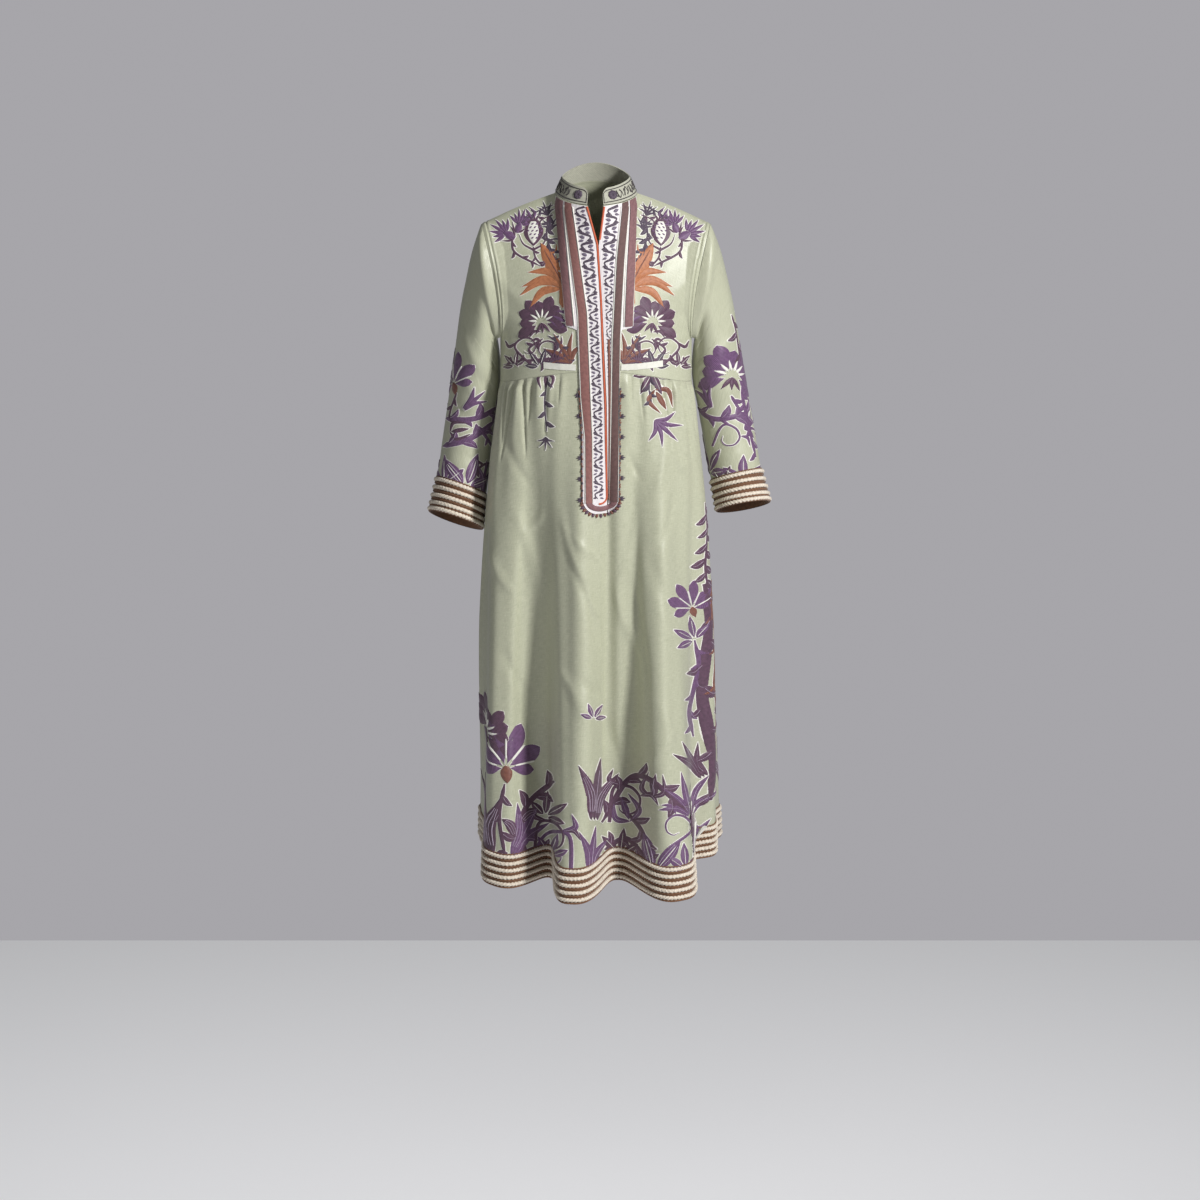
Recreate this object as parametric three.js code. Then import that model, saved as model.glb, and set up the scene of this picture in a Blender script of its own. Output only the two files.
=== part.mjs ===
// A long-sleeved kaftan dress, hollow and in its worn shape, as the pieces that a maker cuts and sews.
// Millimetres, +Z up. The front faces -Y, and +X is the wearer's left.
// The origin is the middle of the neck, level with the side of the neck seam, where a wearer holds it up.
import * as THREE from "three";

// ---------- driving sizes ----------

const CLOTH = 2; // wall of the main cloth
const TRIM_GAP = 0.9; // space under a ribbon that is laid on the placket
const BRAID = 1.2; // wall of the placket, ribbons and tabs
const SEAM_GAP = 0.3; // space between two pieces that are sewn together
const LAID_GAP = 1.1; // space under a piece that is laid on a panel, which its flat facets need

const NECK = { halfWidth: 73.5, frontDepth: 74, backDepth: 54, middleY: 8, frontDip: 6, backRise: 10 };
const SHOULDER = { x: 204.5, y: 5, z: -56, crown: 3 };
const UNDERARM = { x: 172, y: -8, z: -262 };
const ARMHOLE = { depthFront: 44, depthBack: 46, curve: 1.9 };
const WAIST = {
  halfWidth: 172,
  middleY: -15,
  frontDepth: 100,
  backDepth: 115,
  frontZ: -300,
  sideZ: -338,
  backZ: -330,
};
const HEM = {
  halfWidth: 218,
  flare: 2.8, // how fast the skirt widens below the waist
  middleY: 18,
  frontDepth: 148,
  backDepth: 165,
  frontZ: -1264,
  backZ: -1228,
  foldDip: 0.12, // how much lower the hem hangs for each millimetre that a fold stands out
};
const BAND_HEIGHT = 65; // corded band at the hem
const SLIT_FOOT_Z = -73; // lower end of the open V at the neck
const PLACKET_FOOT = { z: -562, radius: 30, pipingEndsZ: -530 };

// The skirt's large folds: angle from the front's middle at the waist and at the hem, half of the angle
// that a fold takes, how far it stands out (or in) at the hem, and where it starts (0 waist, 1 hem).
const FOLDS = [
  { name: "middle fold", waistAngle: -14, hemAngle: -10, spread: 10.5, out: 63, start: 0.22 },
  { name: "right valley", waistAngle: -33, hemAngle: -27, spread: 9, out: -52, start: 0.0 },
  { name: "right fold", waistAngle: -48, hemAngle: -49, spread: 14, out: 36, start: 0.15 },
  { name: "left valley", waistAngle: 9, hemAngle: 13, spread: 10, out: -50, start: 0.22 },
  { name: "left fold", waistAngle: 30, hemAngle: 34.5, spread: 13.5, out: 74, start: 0.12 },
  { name: "left side valley", waistAngle: 66, hemAngle: 68, spread: 13, out: -36, start: 0.3 },
  { name: "left back fold", waistAngle: 120, hemAngle: 131, spread: 18, out: 62, start: 0.15 },
  { name: "left back valley", waistAngle: 150, hemAngle: 156, spread: 10, out: -30, start: 0.1 },
  { name: "back fold", waistAngle: 181, hemAngle: 178, spread: 13, out: 34, start: 0.2 },
  { name: "right back valley", waistAngle: 208, hemAngle: 203, spread: 10, out: -34, start: 0.05 },
  { name: "right back fold", waistAngle: 238, hemAngle: 226, spread: 18, out: 48, start: 0.15 },
  { name: "right side valley", waistAngle: 284, hemAngle: 274, spread: 16, out: -20, start: 0.5 },
];

const FOLD_SQUARENESS = 2.9; // 2 is a round bell, more has a flatter top and steeper sides

// Runs of small gathers under the waist seam: from one angle to another, and how many.
const GATHERS = [
  { from: -84, to: -15, count: 8 },
  { from: 15, to: 84, count: 8 },
  { from: 100, to: 260, count: 14 },
];
const GATHER = { depth: 4.2, fullAt: 20, fadesOver: 95 };

// The sleeve's sections below the armhole: outer and inner point in the front view, the middle's Y,
// half of the depth in Y, how much higher the front is than the middle, for a wearer's right sleeve.
const SLEEVE_SECTIONS = [
  { outX: 212, outZ: -73, inX: 178, inZ: -267, midY: -1, depth: 47, frontRise: 0 },
  { outX: 223, outZ: -112, inX: 175.5, inZ: -280, midY: 13, depth: 52, frontRise: 0 },
  { outX: 233, outZ: -163, inX: 173, inZ: -302, midY: 23, depth: 56, frontRise: 0 },
  { outX: 243.5, outZ: -217, inX: 171, inZ: -331, midY: 30, depth: 58, frontRise: 0 },
  { outX: 252, outZ: -277, inX: 172.5, inZ: -367, midY: 33, depth: 59, frontRise: 0 },
  { outX: 260, outZ: -340, inX: 179, inZ: -410, midY: 39, depth: 58, frontRise: 2 },
  { outX: 269, outZ: -405, inX: 185, inZ: -458, midY: 41, depth: 57, frontRise: 6 },
  { outX: 278, outZ: -468, inX: 191.5, inZ: -511, midY: 40, depth: 56, frontRise: 12 },
  { outX: 287, outZ: -531, inX: 198, inZ: -565, midY: 36, depth: 54, frontRise: 18 },
];
const CUFF_END = { outX: 301, outZ: -594, inX: 206, inZ: -627, midY: 28, depth: 53, frontRise: 21 };
// The wearer's left arm stands a little further out, and its hand a little higher.
const SLEEVES = [
  { side: -1, name: "right", swing: 0, lift: 0 },
  { side: 1, name: "left", swing: 13, lift: 22 },
];
// Soft folds in a sleeve: angle round it (0 outer, 90 front), place along it, sizes and depth.
const SLEEVE_FOLDS = [
  { angle: 128, along: 0.3, angleSize: 16, alongSize: 0.22, out: -5 },
  { angle: 84, along: 0.34, angleSize: 20, alongSize: 0.2, out: 3.5 },
  { angle: 60, along: 0.68, angleSize: 34, alongSize: 0.045, out: -3.5 },
  { angle: 110, along: 0.78, angleSize: 30, alongSize: 0.05, out: -3.5 },
  { angle: 250, along: 0.66, angleSize: 34, alongSize: 0.06, out: -4 },
];

// Corded bands: cords of one width side by side, standing out of the band's ground.
const CORDS = { count: 5, height: 2.2 };

// The placket and its ribbons in the front view: the height, then the X of each edge there.
const RIBBONS = {
  ribbon_right_outer: [
    { z: -22, from: -70, to: -58 },
    { z: -217, from: -52, to: -40 },
  ],
  ribbon_right_inner: [
    { z: -9, from: -55, to: -43 },
    { z: -193, from: -31, to: -17 },
    { z: -346, from: -26, to: -11 },
    { z: -420, from: -19, to: -8 },
    { z: -540, from: -19, to: -8 },
  ],
  ribbon_left_inner: [
    { z: -9, from: 46, to: 57 },
    { z: -103, from: 37, to: 49 },
    { z: -241, from: 30, to: 41.5 },
    { z: -540, from: 26, to: 38.5 },
  ],
  ribbon_left_outer: [
    { z: -22, from: 59, to: 70 },
    { z: -127, from: 54, to: 67 },
    { z: -219, from: 51, to: 64 },
  ],
};
// Edge of the wearer's right half, which laps over the left one: its X at each height.
const LAP_EDGE = [
  { z: -2, x: -16 },
  { z: SLIT_FOOT_Z, x: 3.6 },
  { z: -171, x: 10 },
  { z: -299, x: 15.3 },
  { z: -359, x: 18 },
  { z: -530, x: 20 },
];
const LEFT_SLIT_EDGE = [
  { z: -2, x: 13.5 },
  { z: SLIT_FOOT_Z, x: 4.4 },
];
// Outer edge of the placket's white ground on each side.
const PLACKET_EDGE = {
  right: [
    { z: -20, x: -71 },
    { z: -219, x: -53.5 },
    { z: -223, x: -34 },
    { z: -346, x: -28 },
    { z: -420, x: -24 },
    { z: -530, x: -24 },
  ],
  left: [
    { z: -20, x: 71 },
    { z: -221, x: 66 },
    { z: -225, x: 44 },
    { z: -346, x: 42 },
    { z: -530, x: 41 },
  ],
};
const PIPING = { width: 3.2, height: 1.8 };
const TAB_GAP = 0.7; // space under a waist tab
const WAIST_TABS = [
  { name: "waist_tab_right", from: -93, to: -36, drop: 13 },
  { name: "waist_tab_left", from: 45, to: 119, drop: 13 },
];
const COLLAR = { frontHeight: 27, sideHeight: 30, backHeight: 36, lean: 13, endRound: 13, seamGap: 0.8 };
const ROSETTE = { radius: 8.5, height: 2.4, up: 0.52, fromEnd: 16, clear: 0.8 };

// ---------- colours ----------

const cloth = (color, roughness) => new THREE.MeshStandardMaterial({ color, roughness, metalness: 0 });
const MATERIALS = {
  satin: cloth(0x9fa088, 0.5),
  cords: cloth(0xc9b79f, 0.7),
  placket: cloth(0xd8d2d0, 0.75),
  ribbon: cloth(0x7a5656, 0.7),
  piping: cloth(0xb4563a, 0.6),
  tab: cloth(0xd5d5c8, 0.7),
  rosette: cloth(0x4a3350, 0.6),
};

// ---------- small helpers ----------

const radians = (degrees) => (degrees * Math.PI) / 180;
const lerp = (a, b, t) => a + (b - a) * t;
const clamp = (t, low = 0, high = 1) => Math.min(high, Math.max(low, t));
const steps = (count, from = 0, to = 1) =>
  Array.from({ length: count + 1 }, (_, i) => lerp(from, to, i / count));

/** The value of one column of a table at a height: straight between rows, and level past both ends. */
function atHeight(table, z, column) {
  const next = table.findIndex((row) => row.z <= z);
  if (next === -1) return table[table.length - 1][column];
  if (next === 0) return table[0][column];
  const above = table[next - 1];
  const below = table[next];
  return lerp(above[column], below[column], (above.z - z) / (above.z - below.z));
}

/** Outward unit normal of a surface at (u, v); turn is 1 or -1, as the surface's parameters run. */
function normalOf(surface, u, v, turn, span = 1e-3) {
  const alongU = surface(u + span, v).sub(surface(u - span, v));
  const alongV = surface(u, v + span).sub(surface(u, v - span));
  return alongU.cross(alongV).multiplyScalar(turn).normalize();
}

// ---------- meshes of cloth walls ----------

/** Triangles between two rows of vertex numbers, which may have different counts. */
function stitch(rowA, rowB, triangles) {
  let i = 0;
  let j = 0;
  while (i < rowA.length - 1 || j < rowB.length - 1) {
    const nextA = (i + 1) / (rowA.length - 1);
    const nextB = (j + 1) / (rowB.length - 1);
    if (j === rowB.length - 1 || (i < rowA.length - 1 && nextA <= nextB)) {
      triangles.push(rowA[i], rowB[j], rowA[i + 1]);
      i += 1;
    } else {
      triangles.push(rowA[i], rowB[j], rowB[j + 1]);
      j += 1;
    }
  }
}

/**
 * A closed wall between rows of outer points and rows of inner points.
 * The first and last rows are its upper and lower edges; closed rows are rings.
 */
function wall(outerRows, innerRows, closed = false) {
  const points = [];
  const number = (rows) =>
    rows.map((row) => {
      const ids = row.map((point) => points.push(point) - 1);
      if (closed) ids.push(ids[0]);
      return ids;
    });
  const outer = number(outerRows);
  const inner = number(innerRows);
  const triangles = [];
  for (let k = 0; k < outer.length - 1; k += 1) stitch(outer[k], outer[k + 1], triangles);
  for (let k = 0; k < inner.length - 1; k += 1) stitch(inner[k + 1], inner[k], triangles);
  stitch(inner[0], outer[0], triangles);
  stitch(outer[outer.length - 1], inner[inner.length - 1], triangles);
  if (!closed) {
    const column = (rows, last) => rows.map((row) => row[last ? row.length - 1 : 0]);
    stitch(column(outer, false), column(inner, false), triangles);
    stitch(column(inner, true), column(outer, true), triangles);
  }
  return solidGeometry(points, triangles);
}

/** Geometry of a closed mesh with its faces turned out. */
function solidGeometry(points, triangles) {
  let volume = 0;
  for (let k = 0; k < triangles.length; k += 3) {
    const [a, b, c] = triangles.slice(k, k + 3).map((id) => points[id]);
    volume += a.dot(b.clone().cross(c));
  }
  if (volume < 0) triangles.reverse();
  const geometry = new THREE.BufferGeometry().setFromPoints(points);
  geometry.setIndex(triangles);
  geometry.computeVertexNormals();
  return geometry;
}

/**
 * Outer and inner rows of a panel. columnsOf(v) gives the u values of the row at v; inward(u, v, normal)
 * may give another direction for the wall's thickness, as it does along seams that bend.
 */
function panel(surface, vs, columnsOf, { turn = 1, thickness = CLOTH, inward, lift = 0 } = {}) {
  const outerRows = [];
  const innerRows = [];
  for (const v of vs) {
    const outerRow = [];
    const innerRow = [];
    for (const u of columnsOf(v)) {
      const normal = normalOf(surface, u, v, turn);
      const into = (inward && inward(u, v, normal)) || normal.clone().negate();
      const outer = surface(u, v).addScaledVector(normal, lift);
      outerRow.push(outer);
      innerRow.push(outer.clone().addScaledVector(into, thickness));
    }
    outerRows.push(outerRow);
    innerRows.push(innerRow);
  }
  return { outerRows, innerRows };
}

// ---------- seams that the pieces share ----------

/** Neck seam at an angle from the front's middle, positive to the wearer's left. */
function neckSeam(angle) {
  const sin = Math.sin(radians(angle));
  const cos = Math.cos(radians(angle));
  const depth = cos > 0 ? NECK.frontDepth : NECK.backDepth;
  const z = cos > 0 ? -NECK.frontDip * cos * cos : NECK.backRise * cos * cos;
  return new THREE.Vector3(NECK.halfWidth * sin, NECK.middleY - depth * cos, z);
}

/** Armhole seam: 0 at the shoulder, 90 in front, 180 under the arm, 270 behind. */
function armholeSeam(side, angle) {
  const sin = Math.sin(radians(angle));
  const down = (1 - Math.cos(radians(angle))) / 2;
  const narrowing = 1 - (1 - down) ** ARMHOLE.curve;
  const depth = sin > 0 ? ARMHOLE.depthFront : ARMHOLE.depthBack;
  return new THREE.Vector3(
    side * lerp(SHOULDER.x, UNDERARM.x, narrowing),
    lerp(SHOULDER.y, UNDERARM.y, down) - depth * sin,
    lerp(SHOULDER.z, UNDERARM.z, down),
  );
}

/** Shoulder seam from the neck (0) to the armhole (1). */
function shoulderSeam(side, t) {
  const point = neckSeam(90 * side).lerp(armholeSeam(side, 0), t);
  point.z += SHOULDER.crown * Math.sin(Math.PI * t);
  return point;
}

/** Waist seam at an angle from the front's middle. */
function waistSeam(angle) {
  return skirtSurface(angle, 0);
}

// ---------- skirt ----------

/** How far the large folds stand out of the skirt's plain form. */
function foldsAt(angle, t) {
  let out = 0;
  for (const fold of FOLDS) {
    const grown = clamp((t - fold.start) / (1 - fold.start)) ** 1.3;
    const middle = lerp(fold.waistAngle, fold.hemAngle, t);
    const away = ((((angle - middle) % 360) + 540) % 360) - 180;
    out += fold.out * grown * Math.exp(-(Math.abs(away / fold.spread) ** FOLD_SQUARENESS));
  }
  return out;
}

/** How far the small gathers stand out, uneven from one to the next. */
function gathersAt(angle, below) {
  const around = ((angle % 360) + 360) % 360;
  let out = 0;
  for (const run of GATHERS) {
    const start = ((run.from % 360) + 360) % 360;
    const place = ((((around - start) % 360) + 360) % 360) / (run.to - run.from);
    if (place > 1) continue;
    const phase = place * run.count;
    const size = 0.75 + 0.25 * Math.sin(5.1 * Math.floor(phase) + run.from);
    out += GATHER.depth * size * Math.sin(Math.PI * (phase % 1)) ** 2;
  }
  const grown = clamp(below / GATHER.fullAt) * Math.exp(-((below / GATHER.fadesOver) ** 1.5));
  return out * grown;
}

/** The skirt with its hem band: t is 0 at the waist seam and 1 at the hem. */
function skirtSurface(angle, t) {
  const sin = Math.sin(radians(angle));
  const cos = Math.cos(radians(angle));
  const front = cos > 0;
  const halfWidth = lerp(WAIST.halfWidth, HEM.halfWidth, 1 - Math.max(0, 1 - t) ** HEM.flare);
  const depth = front
    ? lerp(WAIST.frontDepth, HEM.frontDepth, t)
    : lerp(WAIST.backDepth, HEM.backDepth, t);
  const waistZ = lerp(WAIST.sideZ, front ? WAIST.frontZ : WAIST.backZ, cos * cos);
  const back = clamp((0.9 - cos) / 1.1);
  const hemZ = lerp(HEM.frontZ, HEM.backZ, back) - HEM.foldDip * foldsAt(angle, 1);
  const z = lerp(waistZ, hemZ, t);
  const out = foldsAt(angle, t) + gathersAt(angle, Math.max(0, waistZ - z));
  const across = new THREE.Vector2(sin / halfWidth, -cos / depth).normalize();
  return new THREE.Vector3(
    halfWidth * sin + across.x * out,
    lerp(WAIST.middleY, HEM.middleY, t) - depth * cos + across.y * out,
    z,
  );
}

const SKIRT_LENGTH = WAIST.frontZ - HEM.frontZ;
const BAND_TOP = 1 - BAND_HEIGHT / SKIRT_LENGTH; // where the corded band starts, as a share of the skirt
const SKIRT_ROWS = [SEAM_GAP, 10, 24, 46, 80, 140, 220, 310, 400, 500, 600, 700, 800]
  .map((below) => below / SKIRT_LENGTH)
  .concat(BAND_TOP - SEAM_GAP / SKIRT_LENGTH);
const GATHERED_ROWS = 5; // upper rows that carry the gathers, with twice as many columns

const SKIRT_PIECES = [
  { part: "front", from: -90, to: 90, columns: 42 },
  { part: "back", from: 90, to: 270, columns: 26 },
];
const SIDE_GAP = 0.08; // angle that keeps the two side seams apart

/** Direction of the wall along edges that meet another piece: level, and square to a side seam. */
function skirtInward(piece) {
  return (angle, t, normal) => {
    if (angle < piece.from + 1 || angle > piece.to - 1) {
      return new THREE.Vector3(-Math.sign(Math.sin(radians(angle))), 0, 0);
    }
    return new THREE.Vector3(-normal.x, -normal.y, 0).normalize();
  };
}

function skirtPanel(piece) {
  const columns = (t) => {
    const count = SKIRT_ROWS.indexOf(t) < GATHERED_ROWS ? piece.columns * 2 : piece.columns;
    return steps(count, piece.from + SIDE_GAP, piece.to - SIDE_GAP);
  };
  const { outerRows, innerRows } = panel(skirtSurface, SKIRT_ROWS, columns, {
    turn: -1,
    inward: skirtInward(piece),
  });
  return wall(outerRows, innerRows);
}

/** Rows across a corded band: a valley and a crest for each cord, with how far each stands out. */
function cordRows(from, to) {
  const count = CORDS.count * 2;
  return steps(count, from, to).map((v, k) => ({ v, out: k % 2 ? CORDS.height : 0 }));
}

/** A band whose outer points carry raised cords over a plain inside. */
function cordedBand(surface, from, to, columns, options, closed) {
  const rows = cordRows(from, to);
  const plain = panel(surface, rows.map((row) => row.v), () => columns, options);
  const outerRows = plain.outerRows.map((row, k) =>
    row.map((point, c) => {
      const into = plain.innerRows[k][c].clone().sub(point).normalize();
      return point.clone().addScaledVector(into, -rows[k].out);
    }),
  );
  const innerRows = [plain.innerRows[0], plain.innerRows[plain.innerRows.length - 1]];
  return wall(outerRows, innerRows, closed);
}

function hemBand(piece) {
  const columns = steps(piece.columns, piece.from + SIDE_GAP, piece.to - SIDE_GAP);
  return cordedBand(skirtSurface, BAND_TOP, 1, columns, { turn: -1, inward: skirtInward(piece) }, false);
}

// ---------- bodice ----------

const NECK_SHARE = 0.42; // part of a bodice half's upper edge that is the neck seam
const ARMHOLE_SHARE = 0.76; // part of its side that is the armhole
const RING_SIDES = 18; // facets round a sleeve
const SEAM_SHARE = 0.0012; // share of a bodice panel's width or height that keeps it off its neighbour
const BODICE_ROWS = [
  ...steps(RING_SIDES / 2, SEAM_SHARE, ARMHOLE_SHARE),
  ...steps(3, ARMHOLE_SHARE, 1 - SEAM_SHARE / 2).slice(1),
];
const CHEST_FULLNESS = 13;
const BACK_FULLNESS = -34; // takes back most of what the two armholes' roundness adds in the middle
const CENTRE_Y = { neck: -64, waist: -115 };

// How far a corner of a bodice panel's edge is rounded inside the panel, and over what share of it.
const SOFTENING = { top: 0.12, topGrowsOver: 0.14, side: 0.22, sideGrowsOver: 0.15 };

/** A point of a curve, averaged over a stretch so that a corner of the curve is rounded. */
function softened(curve, t, stretch) {
  const reach = Math.min(stretch, Math.max(0, t), Math.max(0, 1 - t));
  const point = curve(t).multiplyScalar(0.3);
  const weights = [
    { share: 1, weight: 0.12 },
    { share: 0.5, weight: 0.23 },
  ];
  for (const { share, weight } of weights) {
    point.addScaledVector(curve(t - share * reach), weight);
    point.addScaledVector(curve(t + share * reach), weight);
  }
  return point;
}

/** A patch between four edges: top and bottom by u, first and last by v. Corners fade into the cloth. */
function coons({ top, bottom, first, last }) {
  return (u, v) => {
    const corner = (a, b) => (b ? bottom(a) : top(a));
    const topStretch = SOFTENING.top * clamp(v / SOFTENING.topGrowsOver);
    const point = softened(top, u, topStretch).multiplyScalar(1 - v).addScaledVector(bottom(u), v);
    const sideStretch = (away) => SOFTENING.side * clamp(away / SOFTENING.sideGrowsOver);
    point.addScaledVector(softened(first, v, sideStretch(u)), 1 - u);
    point.addScaledVector(softened(last, v, sideStretch(1 - u)), u);
    point.addScaledVector(corner(0, 0), -(1 - u) * (1 - v)).addScaledVector(corner(1, 0), -u * (1 - v));
    return point.addScaledVector(corner(0, 1), -(1 - u) * v).addScaledVector(corner(1, 1), -u * v);
  };
}

/** A curve of two stretches that meet at a share of its way; it runs straight on past its ends. */
function twoStretches(share, firstStretch, secondStretch) {
  return (t) => (t < share ? firstStretch(t / share) : secondStretch((t - share) / (1 - share)));
}

/** A point of the front's middle line, at an X and a height. */
function centreFront(x, z) {
  const down = clamp(z / WAIST.frontZ, -0.1, 1.1);
  return new THREE.Vector3(x, lerp(CENTRE_Y.neck, CENTRE_Y.waist, Math.sin((Math.PI / 2) * down)), z);
}

const angleOfX = (x, halfWidth) => (Math.asin(x / halfWidth) * 180) / Math.PI;

/** One half of the front bodice: u runs from the slit to the side, v from the shoulder to the waist. */
function frontBodice(side) {
  const edgeX = (z) =>
    side < 0
      ? atHeight(LAP_EDGE, z, "x")
      : z > SLIT_FOOT_Z
        ? atHeight(LEFT_SLIT_EDGE, z, "x")
        : atHeight(LAP_EDGE, z, "x") + 2 * SEAM_GAP;
  const neckStart = angleOfX(edgeX(-NECK.frontDip), NECK.halfWidth);
  const waistStart = angleOfX(edgeX(WAIST.frontZ), WAIST.halfWidth);
  const neckCorner = neckSeam(neckStart);
  const waistCorner = waistSeam(waistStart);
  const patch = coons({
    top: twoStretches(
      NECK_SHARE,
      (t) => neckSeam(lerp(neckStart, 90 * side, t)),
      (t) => shoulderSeam(side, t),
    ),
    bottom: (t) => waistSeam(lerp(waistStart, 90 * side, t)),
    first: (t) => {
      const z = lerp(neckCorner.z, waistCorner.z, t);
      const point = centreFront(edgeX(z), z);
      point.y += lerp(neckCorner.y, waistCorner.y, t) - lerp(CENTRE_Y.neck, CENTRE_Y.waist, t);
      return point;
    },
    last: twoStretches(
      ARMHOLE_SHARE,
      (t) => armholeSeam(side, 180 * t),
      (t) => armholeSeam(side, 180).lerp(waistSeam(90 * side), t),
    ),
  });
  return (u, v) => {
    const point = patch(u, v);
    point.y -= CHEST_FULLNESS * Math.sin(Math.PI * clamp(u)) * Math.sin(Math.PI * clamp(v));
    return point;
  };
}

/** The back bodice: u runs from the wearer's right side to the left one. */
function backBodice(u, v) {
  const side = u < 0.5 ? -1 : 1;
  const share = NECK_SHARE / 2;
  const patch = coons({
    top: (t) => {
      if (t < 0.5 - share) return shoulderSeam(-1, 1 - t / (0.5 - share));
      if (t > 0.5 + share) return shoulderSeam(1, (t - 0.5 - share) / (0.5 - share));
      return neckSeam(lerp(270, 90, (t - 0.5 + share) / (2 * share)));
    },
    bottom: (t) => waistSeam(lerp(270, 90, t)),
    first: (t) => backSide(-1, t),
    last: (t) => backSide(1, t),
  });
  const point = patch(u, v);
  point.y += BACK_FULLNESS * Math.sin(Math.PI * clamp(u)) * Math.sin(Math.PI * clamp(v)) ** 0.8;
  return point;

  function backSide(which, t) {
    if (t < ARMHOLE_SHARE) return armholeSeam(which, 360 - (180 * t) / ARMHOLE_SHARE);
    return armholeSeam(which, 180).lerp(waistSeam(90 * which), (t - ARMHOLE_SHARE) / (1 - ARMHOLE_SHARE));
  }
}

/** Wall direction at the armhole, between those of the bodice and of the sleeve. */
function armholeInward(side, angle) {
  const along = armholeSeam(side, angle + 1).sub(armholeSeam(side, angle - 1)).normalize();
  const middle = armholeSeam(side, 0).lerp(armholeSeam(side, 180), 0.5);
  const toMiddle = middle.sub(armholeSeam(side, angle));
  toMiddle.addScaledVector(along, -toMiddle.dot(along)).normalize();
  const intoBody = new THREE.Vector3(-side, 0, 0);
  intoBody.addScaledVector(along, -intoBody.dot(along)).normalize();
  const lean = lerp(0.25, 1, (1 - Math.cos(radians(angle))) / 2);
  return toMiddle.addScaledVector(intoBody, lean).normalize();
}

/** Wall direction along the shoulder seam, which slopes down to the arm. */
function shoulderInward(side) {
  const slope = -SHOULDER.z / (SHOULDER.x - NECK.halfWidth);
  return new THREE.Vector3(-slope * side, 0, -1).normalize();
}

function frontBodicePanel(side) {
  const surface = frontBodice(side);
  const columns = steps(12, SEAM_SHARE * 0.2, 1 - SEAM_SHARE / 2);
  const inward = (u, v, normal) => {
    if (v < 0.01 && u > NECK_SHARE) return shoulderInward(side);
    if (v > 0.99) return new THREE.Vector3(-normal.x, -normal.y, 0).normalize();
    if (u > 0.99 && v < ARMHOLE_SHARE) return armholeInward(side, (180 * v) / ARMHOLE_SHARE);
    if (u > 0.99) return new THREE.Vector3(-side, 0, 0);
    return null;
  };
  const { outerRows, innerRows } = panel(surface, BODICE_ROWS, () => columns, { turn: -side, inward });
  return wall(outerRows, innerRows);
}

function backBodicePanel() {
  const neck = NECK_SHARE / 2;
  const columns = [
    ...steps(5, SEAM_SHARE / 2, 0.5 - neck).slice(0, -1),
    ...steps(12, 0.5 - neck, 0.5 + neck),
    ...steps(5, 0.5 + neck, 1 - SEAM_SHARE / 2).slice(1),
  ];
  const inward = (u, v, normal) => {
    const side = u < 0.5 ? -1 : 1;
    const edge = u < 0.01 || u > 0.99;
    if (edge && v < ARMHOLE_SHARE) return armholeInward(side, 360 - (180 * v) / ARMHOLE_SHARE);
    if (edge) return new THREE.Vector3(-side, 0, 0);
    if (v < 0.01 && Math.abs(u - 0.5) > NECK_SHARE / 2) return shoulderInward(side);
    if (v > 0.99) return new THREE.Vector3(-normal.x, -normal.y, 0).normalize();
    return null;
  };
  const { outerRows, innerRows } = panel(backBodice, BODICE_ROWS, () => columns, { inward });
  return wall(outerRows, innerRows);
}

// ---------- sleeves ----------

/** A ring of a sleeve from one section: 0 outer, 90 front, 180 inner, 270 behind. */
function sleeveRing(section, arm, share, angle) {
  const cos = Math.cos(radians(angle));
  const sin = Math.sin(radians(angle));
  const swing = arm.swing * share ** lerp(2.4, 1.2, (1 + cos) / 2);
  const lift = arm.lift * share ** 2;
  return new THREE.Vector3(
    arm.side * (lerp(section.inX, section.outX, (1 + cos) / 2) + swing),
    section.midY - section.depth * sin,
    lerp(section.inZ + lift * 1.5, section.outZ + lift * 0.8, (1 + cos) / 2) + section.frontRise * sin,
  );
}

/** A sleeve with its cuff: v is 0 at the armhole, 1 at the end of the cuff. */
function sleeveSurface(arm) {
  const sections = [null, ...SLEEVE_SECTIONS, CUFF_END];
  const last = sections.length - 1;
  const ring = (k, angle) => {
    const index = clamp(k, 0, last);
    if (index === 0) return armholeSeam(arm.side, angle);
    return sleeveRing(sections[index], arm, index / last, angle);
  };
  return (angle, v) => {
    const place = clamp(v, -0.01, 1.01) * last;
    const k = clamp(Math.floor(place), 0, last - 1);
    const t = place - k;
    // Catmull-Rom between the rings
    const [a, b, c, d] = [ring(k - 1, angle), ring(k, angle), ring(k + 1, angle), ring(k + 2, angle)];
    const point = new THREE.Vector3()
      .addScaledVector(a, -0.5 * t + t * t - 0.5 * t ** 3)
      .addScaledVector(b, 1 - 2.5 * t * t + 1.5 * t ** 3)
      .addScaledVector(c, 0.5 * t + 2 * t * t - 1.5 * t ** 3)
      .addScaledVector(d, -0.5 * t * t + 0.5 * t ** 3);
    const axis = ring(k, 0).add(ring(k, 180)).multiplyScalar(0.5);
    const outward = point.clone().sub(axis).normalize();
    for (const fold of SLEEVE_FOLDS) {
      const away = ((((angle - fold.angle) % 360) + 540) % 360) - 180;
      const size = (away / fold.angleSize) ** 2 + ((v - fold.along) / fold.alongSize) ** 2;
      point.addScaledVector(outward, fold.out * Math.exp(-size));
    }
    return point;
  };
}

const CUFF_TOP = SLEEVE_SECTIONS.length / (SLEEVE_SECTIONS.length + 1);
const RING_ANGLES = steps(RING_SIDES, 0, 360).slice(0, -1);

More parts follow.
